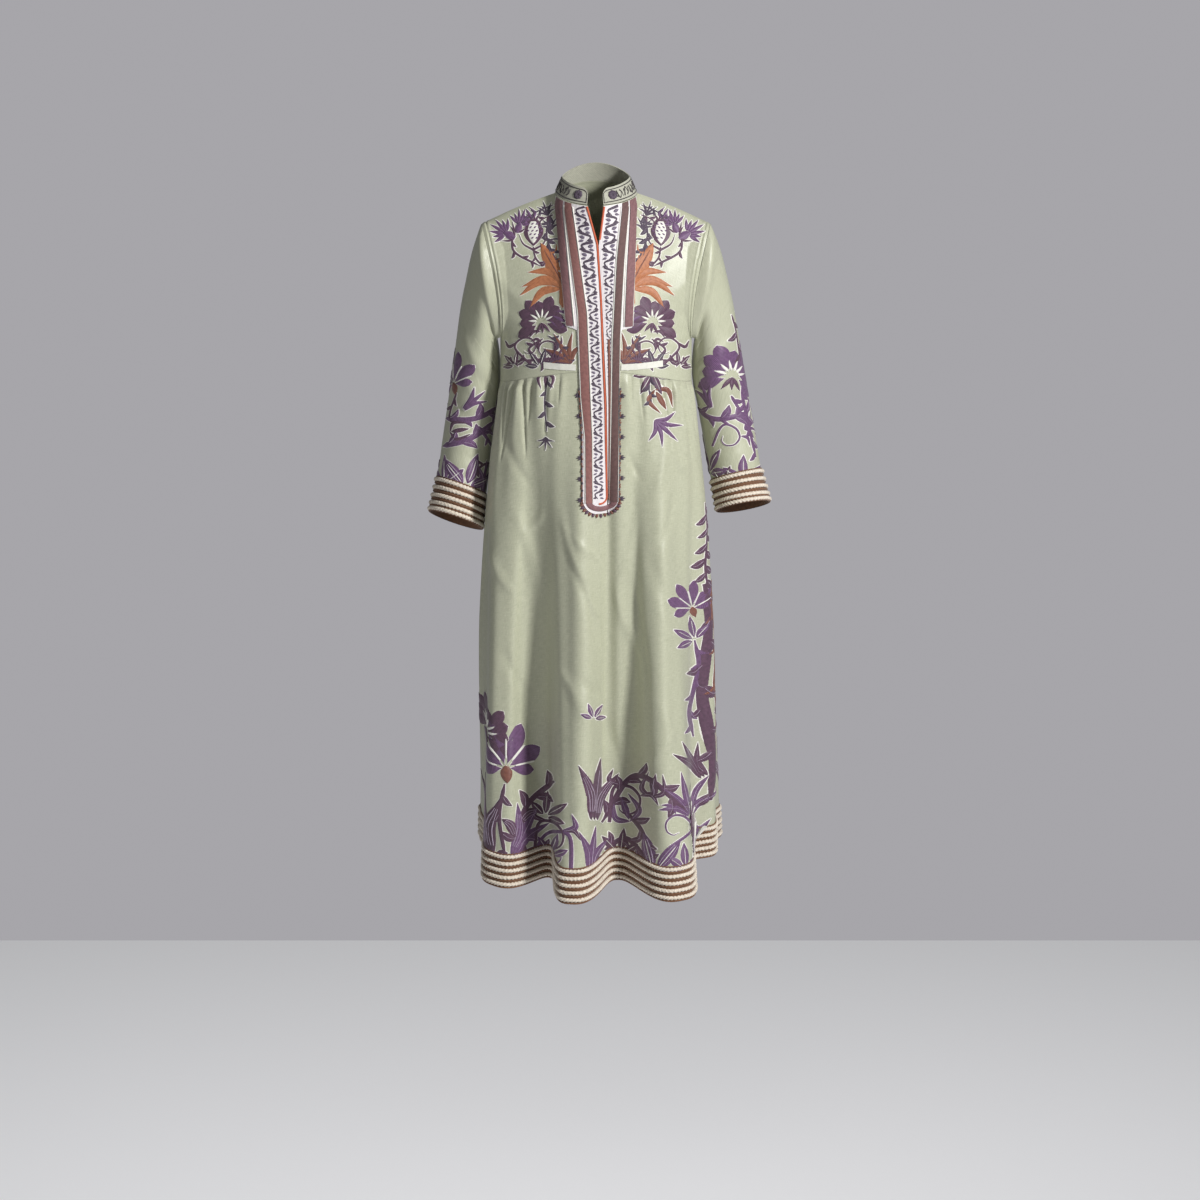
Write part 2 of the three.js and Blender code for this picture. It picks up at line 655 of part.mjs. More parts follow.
function sleevePanel(arm) {
  const surface = sleeveSurface(arm);
  const rows = steps(11, 0.006, CUFF_TOP - 0.0006);
  const inward = (angle, v) => (v < 0.01 ? armholeInward(arm.side, angle) : null);
  const { outerRows, innerRows } = panel(surface, rows, () => RING_ANGLES, { turn: arm.side, inward });
  return wall(outerRows, innerRows, true);
}

function cuffBand(arm) {
  return cordedBand(sleeveSurface(arm), CUFF_TOP, 1, RING_ANGLES, { turn: arm.side }, true);
}

// ---------- collar ----------

const COLLAR_ENDS = {
  right: angleOfX(LAP_EDGE[0].x, NECK.halfWidth),
  left: angleOfX(LEFT_SLIT_EDGE[0].x, NECK.halfWidth),
};

/** The stand collar: the angle as on the neck seam, v from the seam to the upper edge. */
function collarSurface(angle, v) {
  const seam = neckSeam(angle);
  const cos = Math.cos(radians(angle));
  const side = lerp(COLLAR.sideHeight, cos > 0 ? COLLAR.frontHeight : COLLAR.backHeight, cos * cos);
  const fromEnd =
    Math.min(angle - COLLAR_ENDS.left, COLLAR_ENDS.right + 360 - angle) * radians(1) * NECK.halfWidth;
  const short = clamp(1 - fromEnd / COLLAR.endRound);
  const height = side - COLLAR.endRound * (1 - Math.sqrt(Math.max(0, 1 - short * short)));
  const rise = height * v;
  const middle = new THREE.Vector3(0, NECK.middleY, 0);
  const toMiddle = middle.sub(seam).setZ(0).normalize();
  seam.addScaledVector(toMiddle, (COLLAR.lean * rise) / side);
  return seam.setZ(seam.z + rise + COLLAR.seamGap);
}

function collarBand() {
  const rows = steps(4);
  const ends = [0, 0.6, 2, 4.5, 8, 12];
  const first = COLLAR_ENDS.left;
  const final = COLLAR_ENDS.right + 360;
  const middle = steps(18, first + 20, final - 20);
  const columns = [...ends.map((e) => first + e), ...middle, ...ends.map((e) => final - e).reverse()];
  const { outerRows, innerRows } = panel(collarSurface, rows, () => columns, {
    turn: 1,
    inward: (angle, v, normal) => new THREE.Vector3(-normal.x, -normal.y, 0).normalize(),
  });
  return wall(outerRows, innerRows);
}

/** A small domed disc on the collar near one end. */
function rosette(angle) {
  const centre = collarSurface(angle, ROSETTE.up);
  const normal = normalOf(collarSurface, angle, ROSETTE.up, 1);
  const r = ROSETTE.radius;
  const profile = [
    [0, 0],
    [r, 0],
    [r, 0.5],
    [r * 0.8, 0.8],
    [r * 0.45, 1],
    [0, 1],
  ].map(([radius, share]) => new THREE.Vector2(radius, share * ROSETTE.height));
  const geometry = new THREE.LatheGeometry(profile, 16);
  geometry.applyQuaternion(new THREE.Quaternion().setFromUnitVectors(new THREE.Vector3(0, 1, 0), normal));
  const away = centre.addScaledVector(normal, ROSETTE.clear);
  return geometry.translate(away.x, away.y, away.z);
}

// ---------- pieces laid on the front ----------

/** Finds the front's surface at an X and a height, on one side's half, as a point and its outward normal. */
function onFront(x, z, side) {
  const below = z < skirtSurface(angleOfX(x, WAIST.halfWidth), 0).z;
  const surface = below ? skirtSurface : FRONTS[side];
  let u = below ? angleOfX(x, WAIST.halfWidth) : 0.2;
  let v = clamp(below ? (z - WAIST.frontZ) / (HEM.frontZ - WAIST.frontZ) : z / WAIST.frontZ);
  const spanU = below ? 0.1 : 1e-3;
  const spanV = 1e-3;
  for (let round = 0; round < 12; round += 1) {
    const here = surface(u, v);
    const alongU = surface(u + spanU, v).sub(here).divideScalar(spanU);
    const alongV = surface(u, v + spanV).sub(here).divideScalar(spanV);
    const det = alongU.x * alongV.z - alongV.x * alongU.z;
    const missX = x - here.x;
    const missZ = z - here.z;
    u += (missX * alongV.z - missZ * alongV.x) / det;
    v += (missZ * alongU.x - missX * alongU.z) / det;
    v = clamp(v, -0.05, 1);
    if (!below) u = clamp(u, -0.05, 1);
  }
  return { point: surface(u, v), normal: normalOf(surface, u, v, below ? -1 : -side) };
}

const FRONTS = { [-1]: frontBodice(-1), [1]: frontBodice(1) };

/** A strip laid on one side of the front between two edges, given as X by height. */
function laidStrip(side, heights, edges, { columns, lift, thickness }) {
  const outerRows = [];
  const innerRows = [];
  for (const z of heights) {
    const outerRow = [];
    const innerRow = [];
    for (const across of steps(columns)) {
      const x = lerp(edges(z)[0], edges(z)[1], across);
      const { point, normal } = onFront(x, z, side);
      outerRow.push(point.clone().addScaledVector(normal, lift + thickness));
      innerRow.push(point.clone().addScaledVector(normal, lift));
    }
    outerRows.push(outerRow);
    innerRows.push(innerRow);
  }
  return wall(outerRows, innerRows);
}

const OVER_PLACKET = LAID_GAP + BRAID + TRIM_GAP; // height of the ribbons and the piping over the panel
const STRIP_TOP_Z = -9; // just below the neck seam
// Every laid piece has its rows at the same heights, so that one lies evenly on another.
const STRIP_ROWS = { count: 23, fromZ: -16, toZ: -545 };
const STRIP_HEIGHTS = [
  ...steps(STRIP_ROWS.count, STRIP_ROWS.fromZ, STRIP_ROWS.toZ),
  WAIST.frontZ + 2,
  WAIST.frontZ,
  WAIST.frontZ - 3,
];

function heightsBetween(from, to, extra = []) {
  const inside = [...STRIP_HEIGHTS, ...extra].filter((z) => z < from - 3 && z > to + 3);
  return [from, ...inside.sort((a, b) => b - a), to];
}

/** How far the placket's round foot draws an edge in at a height. */
function footInset(z, foot, radius) {
  const into = clamp((foot + radius - z) / radius);
  return radius * (1 - Math.sqrt(1 - into * into));
}

function placketHalf(side) {
  const edge = PLACKET_EDGE[side < 0 ? "right" : "left"];
  const extra = [...edge.slice(1, 3).map((row) => row.z), SLIT_FOOT_Z, -536, -548];
  const heights = heightsBetween(STRIP_TOP_Z, PLACKET_FOOT.z + 1, [-30, ...extra]);
  const lap = (z) => atHeight(side < 0 || z < SLIT_FOOT_Z ? LAP_EDGE : LEFT_SLIT_EDGE, z, "x");
  const edges = (z) => {
    const inset = footInset(z, PLACKET_FOOT.z, PLACKET_FOOT.radius);
    const outer = atHeight(edge, z, "x") - side * inset;
    const inner = lap(z) + (side > 0 ? SEAM_GAP + 1 : -1);
    return [inner, side < 0 ? Math.min(outer, inner - 3) : Math.max(outer, inner + 3)];
  };
  return laidStrip(side, heights, edges, { columns: 6, lift: LAID_GAP, thickness: BRAID });
}

function ribbonStrip(table) {
  const side = Math.sign(table[0].from);
  const heights = heightsBetween(STRIP_TOP_Z, table[table.length - 1].z);
  const edges = (z) => [atHeight(table, z, "from"), atHeight(table, z, "to")];
  return laidStrip(side, heights, edges, { columns: 2, lift: OVER_PLACKET, thickness: BRAID });
}

function pipingStrip(side) {
  const foot = side < 0 ? PLACKET_FOOT.pipingEndsZ : SLIT_FOOT_Z + 8;
  const line = side < 0 ? LAP_EDGE : LEFT_SLIT_EDGE;
  const half = PIPING.width / 2;
  const middle = (z) => atHeight(line, z, "x") + side * half;
  const edges = (z) => [middle(z) - half, middle(z) + half];
  const heights = heightsBetween(STRIP_TOP_Z, foot, [SLIT_FOOT_Z]);
  return laidStrip(side, heights, edges, { columns: 1, lift: OVER_PLACKET, thickness: PIPING.height });
}

function waistTab(tab) {
  const edges = () => [tab.from, tab.to];
  const heights = [1, 0.5, 2 / tab.drop].map((share) => WAIST.frontZ + share * tab.drop);
  return laidStrip(Math.sign(tab.from), heights, edges, { columns: 8, lift: TAB_GAP, thickness: BRAID });
}

// ---------- the garment ----------

const garment = new THREE.Group();

function add(name, geometry, material) {
  const mesh = new THREE.Mesh(geometry, material);
  mesh.name = name;
  garment.add(mesh);
}

for (const piece of SKIRT_PIECES) {
  add("skirt_" + piece.part, skirtPanel(piece), MATERIALS.satin);
  add("hem_band_" + piece.part, hemBand(piece), MATERIALS.cords);
}
add("bodice_back", backBodicePanel(), MATERIALS.satin);
for (const arm of SLEEVES) {
  add("bodice_front_" + arm.name, frontBodicePanel(arm.side), MATERIALS.satin);
  add("sleeve_" + arm.name, sleevePanel(arm), MATERIALS.satin);
  add("cuff_" + arm.name, cuffBand(arm), MATERIALS.cords);
}
add("collar", collarBand(), MATERIALS.satin);
add("rosette_right", rosette(COLLAR_ENDS.right + 360 - ROSETTE.fromEnd), MATERIALS.rosette);
add("rosette_left", rosette(COLLAR_ENDS.left + ROSETTE.fromEnd), MATERIALS.rosette);
for (const arm of SLEEVES) {
  add("placket_" + arm.name, placketHalf(arm.side), MATERIALS.placket);
  add("piping_" + arm.name, pipingStrip(arm.side), MATERIALS.piping);
}
for (const [name, table] of Object.entries(RIBBONS)) add(name, ribbonStrip(table), MATERIALS.ribbon);
for (const tab of WAIST_TABS) add(tab.name, waistTab(tab), MATERIALS.tab);

export default garment;
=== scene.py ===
"""Looks of the kaftan dress: the cloth in its worn folds, corded bands, placket, braid and embroidery.

Shapes are worked out in millimetres from the same sizes as the CAD model, and placed in metres.
"""

import math

import bpy
import numpy as np
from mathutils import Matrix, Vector


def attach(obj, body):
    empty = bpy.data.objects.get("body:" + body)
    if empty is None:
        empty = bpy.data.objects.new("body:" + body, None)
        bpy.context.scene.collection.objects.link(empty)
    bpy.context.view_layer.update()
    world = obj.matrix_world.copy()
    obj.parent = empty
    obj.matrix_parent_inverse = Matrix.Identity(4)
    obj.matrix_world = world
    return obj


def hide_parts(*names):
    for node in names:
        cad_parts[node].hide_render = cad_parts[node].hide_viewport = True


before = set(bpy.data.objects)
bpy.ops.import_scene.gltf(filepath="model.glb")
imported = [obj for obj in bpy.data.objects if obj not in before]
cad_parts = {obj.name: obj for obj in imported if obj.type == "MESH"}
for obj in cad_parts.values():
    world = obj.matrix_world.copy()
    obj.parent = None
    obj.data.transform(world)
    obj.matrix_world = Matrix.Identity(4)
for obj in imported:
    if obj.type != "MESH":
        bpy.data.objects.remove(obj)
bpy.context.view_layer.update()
MM = 0.001

# ---------- driving sizes, as in the CAD model ----------

NECK_HALF, NECK_FRONT, NECK_BACK, NECK_Y, NECK_DIP, NECK_RISE = 73.5, 74, 54, 8, 6, 10
SHOULDER, SHOULDER_CROWN = (204.5, 5, -56), 3
UNDERARM = (172, -8, -262)
ARMHOLE_FRONT, ARMHOLE_BACK, ARMHOLE_CURVE = 44, 46, 1.9
WAIST_HALF, WAIST_Y, WAIST_FRONT, WAIST_BACK = 172, -15, 100, 115
WAIST_FRONT_Z, WAIST_SIDE_Z, WAIST_BACK_Z = -300, -338, -330
HEM_HALF, HEM_FLARE, HEM_Y, HEM_FRONT, HEM_BACK = 218, 2.8, 18, 148, 165
HEM_FRONT_Z, HEM_BACK_Z, FOLD_DIP = -1264, -1228, 0.12
BAND_TOP = 1 - 65 / (WAIST_FRONT_Z - HEM_FRONT_Z)
SLIT_FOOT_Z, PLACKET_FOOT_Z = -73, -562
NECK_SHARE, ARMHOLE_SHARE = 0.42, 0.76
CHEST_FULLNESS, BACK_FULLNESS = 13, -34
CENTRE_NECK_Y, CENTRE_WAIST_Y = -64, -115
SEAM_GAP, LAID_GAP, BRAID, TRIM_GAP = 0.3, 1.1, 1.2, 0.9
OVER_PLACKET = LAID_GAP + BRAID + TRIM_GAP

# waist angle, hem angle, spread, out, start
FOLDS = [
    (-14, -10, 10.5, 63, 0.22),
    (-33, -27, 9, -52, 0),
    (-48, -49, 14, 36, 0.15),
    (9, 13, 10, -50, 0.22),
    (30, 34.5, 13.5, 74, 0.12),
    (66, 68, 13, -36, 0.3),
    (120, 131, 18, 62, 0.15),
    (150, 156, 10, -30, 0.1),
    (181, 178, 13, 34, 0.2),
    (208, 203, 10, -34, 0.05),
    (238, 226, 18, 48, 0.15),
    (284, 274, 16, -20, 0.5),
]
FOLD_SQUARENESS = 2.9

# out x, out z, in x, in z, middle y, depth, front rise
SLEEVE_SECTIONS = [
    (212, -73, 178, -267, -1, 47, 0),
    (223, -112, 175.5, -280, 13, 52, 0),
    (233, -163, 173, -302, 23, 56, 0),
    (243.5, -217, 171, -331, 30, 58, 0),
    (252, -277, 172.5, -367, 33, 59, 0),
    (260, -340, 179, -410, 39, 58, 2),
    (269, -405, 185, -458, 41, 57, 6),
    (278, -468, 191.5, -511, 40, 56, 12),
    (287, -531, 198, -565, 36, 54, 18),
    (301, -594, 206, -627, 28, 53, 21),
]
CUFF_TOP = 0.9
SIDES = {"right": -1, "left": 1}
# how far the end of the arm swings out and is lifted
ARMS = {"right": (0, 0), "left": (13, 22)}
# angle, along, angle size, along size, out
SLEEVE_FOLDS = [
    (128, 0.3, 16, 0.22, -5),
    (84, 0.34, 20, 0.2, 3.5),
    (60, 0.68, 34, 0.045, -3.5),
    (110, 0.78, 30, 0.05, -3.5),
    (250, 0.66, 34, 0.06, -4),
]

# z, from x, to x
RIBBONS = {
    "ribbon_right_outer": [(-22, -70, -58), (-217, -52, -40)],
    "ribbon_right_inner": [
        (-9, -55, -43), (-193, -31, -17), (-346, -26, -11), (-420, -19, -8), (-540, -19, -8),
    ],
    "ribbon_left_inner": [(-9, 46, 57), (-103, 37, 49), (-241, 30, 41.5), (-540, 26, 38.5)],
    "ribbon_left_outer": [(-22, 59, 70), (-127, 54, 67), (-219, 51, 64)],
}
# z, x
LAP_EDGE = [(-2, -16), (SLIT_FOOT_Z, 3.6), (-171, 10), (-299, 15.3), (-359, 18), (-530, 20)]
LEFT_SLIT_EDGE = [(-2, 13.5), (SLIT_FOOT_Z, 4.4)]
PLACKET_EDGE = {
    "right": [(-20, -71), (-219, -53.5), (-223, -34), (-346, -28), (-420, -24), (-530, -24)],
    "left": [(-20, 71), (-221, 66), (-225, 44), (-346, 42), (-530, 41)],
}
# from x, to x
WAIST_TABS = {"right": (-93, -36), "left": (45, 119)}
TAB_DROP, TAB_GAP = 13, 0.7

# ---------- small helpers ----------


def lerp(a, b, t):
    return a + (b - a) * t


def clamp(t, low=0.0, high=1.0):
    return np.minimum(high, np.maximum(low, t))


def smooth(t, low=0.0, high=1.0):
    """0 below low, 1 above high, and a soft step between them."""
    t = clamp((t - low) / (high - low))
    return t * t * (3 - 2 * t)


def vec(x, y, z):
    return np.stack(np.broadcast_arrays(x, y, z), -1).astype(float)


def unit(a):
    return a / np.maximum(np.linalg.norm(a, axis=-1, keepdims=True), 1e-9)


def at_height(rows, z, column=1):
    return np.interp(z, [row[0] for row in rows[::-1]], [row[column] for row in rows[::-1]])


def turn_between(angle, middle):
    """How far an angle is from another, between -180 and 180."""
    return (angle - middle + 180) % 360 - 180


def choose(test, a, b):
    return np.where(np.asarray(test)[..., None], a, b)


def run_lengths(line):
    """The length along a line up to each of its points."""
    return np.concatenate([[0], np.cumsum(np.linalg.norm(np.diff(line, axis=0), axis=1))])


def seen_height(points, plane):
    """The height of points in a view: plane[0] * Y + plane[1] * Z."""
    return points[..., 1] * plane[0] + points[..., 2] * plane[1]


# ---------- seams and panels ----------


def neck_seam(angle):
    sin, cos = np.sin(np.radians(angle)), np.cos(np.radians(angle))
    depth = np.where(cos > 0, NECK_FRONT, NECK_BACK)
    z = np.where(cos > 0, -NECK_DIP, NECK_RISE) * cos * cos
    return vec(NECK_HALF * sin, NECK_Y - depth * cos, z)


def armhole_seam(side, angle):
    """0 at the shoulder, 90 in front, 180 under the arm, 270 behind."""
    sin = np.sin(np.radians(angle))
    down = (1 - np.cos(np.radians(angle))) / 2
    narrowing = 1 - (1 - down) ** ARMHOLE_CURVE
    depth = np.where(sin > 0, ARMHOLE_FRONT, ARMHOLE_BACK)
    return vec(
        side * lerp(SHOULDER[0], UNDERARM[0], narrowing),
        lerp(SHOULDER[1], UNDERARM[1], down) - depth * sin,
        lerp(SHOULDER[2], UNDERARM[2], down),
    )


def between(a, b, t):
    return a + (b - a) * np.asarray(t, float)[..., None]


def shoulder_seam(side, t):
    t = np.asarray(t, float)
    point = between(neck_seam(90 * side), armhole_seam(side, 0), t)
    point[..., 2] += SHOULDER_CROWN * np.sin(np.pi * clamp(t))
    return point


def folds_at(angle, t):
    """How far the large folds stand out of the skirt's plain form."""
    out = 0
    for waist_angle, hem_angle, spread, size, start in FOLDS:
        grown = clamp((t - start) / (1 - start)) ** 1.3
        away = turn_between(angle, lerp(waist_angle, hem_angle, t))
        out = out + size * grown * np.exp(-(np.abs(away / spread) ** FOLD_SQUARENESS))
    return out


def skirt_surface(angle, t):
    """t is 0 at the waist seam and 1 at the hem; the front's middle is angle 0."""
    sin, cos = np.sin(np.radians(angle)), np.cos(np.radians(angle))
    front = cos > 0
    half = lerp(WAIST_HALF, HEM_HALF, 1 - clamp(1 - t) ** HEM_FLARE)
    depth = np.where(front, lerp(WAIST_FRONT, HEM_FRONT, t), lerp(WAIST_BACK, HEM_BACK, t))
    waist_z = lerp(WAIST_SIDE_Z, np.where(front, WAIST_FRONT_Z, WAIST_BACK_Z), cos * cos)
    back = clamp((0.9 - cos) / 1.1)
    hem_z = lerp(HEM_FRONT_Z, HEM_BACK_Z, back) - FOLD_DIP * folds_at(angle, 1.0)
    out = folds_at(angle, t)
    across = unit(vec(sin / half, -cos / depth, 0))
    form = vec(half * sin, lerp(WAIST_Y, HEM_Y, t) - depth * cos, lerp(waist_z, hem_z, t))
    return form + across * out[..., None]


def softened(curve, t, stretch):
    """A curve's point, averaged over a stretch so that a corner is rounded."""
    reach = np.minimum(stretch, np.minimum(clamp(t), clamp(1 - t)))
    point = 0.3 * curve(t)
    for share, weight in ((1, 0.12), (0.5, 0.23)):
        point = point + weight * (curve(t - share * reach) + curve(t + share * reach))
    return point


def coons(top, bottom, first, last):
    """A patch between four edges: top and bottom by u, first and last by v."""

    def patch(u, v):
        w = np.asarray(v)[..., None]
        s = np.asarray(u)[..., None]
        point = softened(top, u, 0.12 * clamp(v / 0.14)) * (1 - w) + bottom(u) * w
        point = point + softened(first, v, 0.22 * clamp(u / 0.15)) * (1 - s)
        point = point + softened(last, v, 0.22 * clamp((1 - u) / 0.15)) * s
        point = point - top(0 * u) * (1 - s) * (1 - w) - top(0 * u + 1) * s * (1 - w)
        return point - bottom(0 * u) * (1 - s) * w - bottom(0 * u + 1) * s * w

    return patch


def two_stretches(share, first, second):
    return lambda t: choose(t < share, first(t / share), second((t - share) / (1 - share)))


def angle_of_x(x, half):
    return math.degrees(math.asin(x / half))


def front_edge_x(side, z):
    lap = at_height(LAP_EDGE, z)
    if side < 0:
        return lap
    return np.where(z > SLIT_FOOT_Z, at_height(LEFT_SLIT_EDGE, z), lap + 2 * SEAM_GAP)


def front_bodice(side):
    """u runs from the slit to the side, v from the shoulder to the waist."""
    neck_start = angle_of_x(front_edge_x(side, -NECK_DIP), NECK_HALF)
    waist_start = angle_of_x(front_edge_x(side, WAIST_FRONT_Z), WAIST_HALF)
    neck_corner = neck_seam(neck_start)
    waist_corner = skirt_surface(waist_start, 0.0)
    side_waist = skirt_surface(90.0 * side, 0.0)

    def slit(t):
        z = lerp(neck_corner[2], waist_corner[2], t)
        down = np.sin(np.pi / 2 * clamp(z / WAIST_FRONT_Z, -0.1, 1.1))
        y = lerp(CENTRE_NECK_Y, CENTRE_WAIST_Y, down)
        y = y + lerp(neck_corner[1], waist_corner[1], t) - lerp(CENTRE_NECK_Y, CENTRE_WAIST_Y, t)
        return vec(front_edge_x(side, z), y, z)

    patch = coons(
        two_stretches(
            NECK_SHARE,
            lambda t: neck_seam(lerp(neck_start, 90 * side, t)),
            lambda t: shoulder_seam(side, t),
        ),
        lambda t: skirt_surface(lerp(waist_start, 90 * side, t), 0.0),
        slit,
        two_stretches(
            ARMHOLE_SHARE,
            lambda t: armhole_seam(side, 180 * t),
            lambda t: between(armhole_seam(side, 180), side_waist, t),
        ),
    )

    def surface(u, v):
        point = patch(u, v)
        point[..., 1] -= CHEST_FULLNESS * np.sin(np.pi * clamp(u)) * np.sin(np.pi * clamp(v))
        return point

    return surface


def back_bodice(u, v):
    """u runs from the wearer's right side to the left one."""
    share = NECK_SHARE / 2

    def top(t):
        right = shoulder_seam(-1, 1 - t / (0.5 - share))
        left = shoulder_seam(1, (t - 0.5 - share) / (0.5 - share))
        neck = neck_seam(lerp(270, 90, (t - 0.5 + share) / (2 * share)))
        return choose(t < 0.5 - share, right, choose(t > 0.5 + share, left, neck))

    def side_edge(side):
        return two_stretches(
            ARMHOLE_SHARE,
            lambda t: armhole_seam(side, 360 - 180 * t),
            lambda t: between(armhole_seam(side, 180), skirt_surface(90.0 * side, 0.0), t),
        )

    patch = coons(top, lambda t: skirt_surface(lerp(270, 90, t), 0.0), side_edge(-1), side_edge(1))
    point = patch(u, v)
    point[..., 1] += BACK_FULLNESS * np.sin(np.pi * clamp(u)) * np.sin(np.pi * clamp(v)) ** 0.8
    return point


def sleeve_surface(arm):
    """v is 0 at the armhole and 1 at the end of the cuff; angle 0 is outer, 90 front."""
    side, (arm_swing, arm_lift) = SIDES[arm], ARMS[arm]
    last = len(SLEEVE_SECTIONS)

    def ring(k, angle):
        if k <= 0:
            return armhole_seam(side, angle)
        k = min(k, last)
        out_x, out_z, in_x, in_z, mid_y, depth, rise = SLEEVE_SECTIONS[k - 1]
        share = k / last
        cos, sin = np.cos(np.radians(angle)), np.sin(np.radians(angle))
        outer = (1 + cos) / 2
        swing = arm_swing * share ** lerp(2.4, 1.2, outer)
        lift = arm_lift * share**2
        return vec(
            side * (lerp(in_x, out_x, outer) + swing),
            mid_y - depth * sin,
            lerp(in_z + lift * 1.5, out_z + lift * 0.8, outer) + rise * sin,
        )

    def surface(angle, v):
        angle, v = np.broadcast_arrays(np.asarray(angle, float), np.asarray(v, float))
        point = np.zeros(angle.shape + (3,))
        place = clamp(v, -0.01, 1.01) * last
        cell = clamp(np.floor(place), 0, last - 1).astype(int)
        for k in range(last):
            here = cell == k
            if not here.any():
                continue
            a, t = angle[here], (place[here] - k)[:, None]
            p0, p1, p2, p3 = ring(k - 1, a), ring(k, a), ring(k + 1, a), ring(k + 2, a)
            middle = (ring(k, 0.0) + ring(k, 180.0)) / 2
            got = (
                p0 * (-0.5 * t + t * t - 0.5 * t**3)
                + p1 * (1 - 2.5 * t * t + 1.5 * t**3)
                + p2 * (0.5 * t + 2 * t * t - 1.5 * t**3)
                + p3 * (-0.5 * t * t + 0.5 * t**3)
            )
            outward = unit(got - middle)
            for fold_angle, along, angle_size, along_size, out in SLEEVE_FOLDS:
                away = turn_between(a, fold_angle) / angle_size
                down = (v[here] - along) / along_size
                got = got + outward * (out * np.exp(-(away**2) - down**2))[:, None]
            point[here] = got
        return point

    return surface


COLLAR_RIGHT_END = angle_of_x(-16, NECK_HALF)
COLLAR_LEFT_END = angle_of_x(13.5, NECK_HALF)
# heights at the side, in front and behind, and the gap over the seam
COLLAR_SIDE, COLLAR_FRONT, COLLAR_BACK, COLLAR_GAP = 30, 27, 36, 0.8
# radius of the round ends, and how far the upper edge leans in
COLLAR_ROUND, COLLAR_LEAN = 13, 13


def collar_surface(angle, v):
    """The angle as on the neck seam, v from the seam to the upper edge."""
    seam = neck_seam(angle)
    cos = np.cos(np.radians(angle))
    side = lerp(COLLAR_SIDE, np.where(cos > 0, COLLAR_FRONT, COLLAR_BACK), cos * cos)
    from_end = np.minimum(angle - COLLAR_LEFT_END, COLLAR_RIGHT_END + 360 - angle)
    short = clamp(1 - from_end * math.radians(1) * NECK_HALF / COLLAR_ROUND)
    height = side - COLLAR_ROUND * (1 - np.sqrt(clamp(1 - short * short)))
    rise = height * v
    middle = vec(0, NECK_Y, 0) - seam
    middle[..., 2] = 0
    seam = seam + unit(middle) * (COLLAR_LEAN * rise / side)[..., None]
    seam[..., 2] += rise + COLLAR_GAP
    return seam


# ---------- grids of cloth ----------

# A point's place is first sought among every SEEK_STEP-th row and column, for SEEK_PART points at a
# time to save memory. Then SEEK_ROUNDS steps of at most SEEK_STRIDE rows or columns lead to it.
# HIDDEN_COST keeps the first search off cloth that faces away.
SEEK_STEP, SEEK_PART, SEEK_ROUNDS, SEEK_STRIDE = 4, 2000, 9, 6
HIDDEN_COST, LEAST_FACING, LEAST_SLOPE = 1e6, 0.02, 1e-3


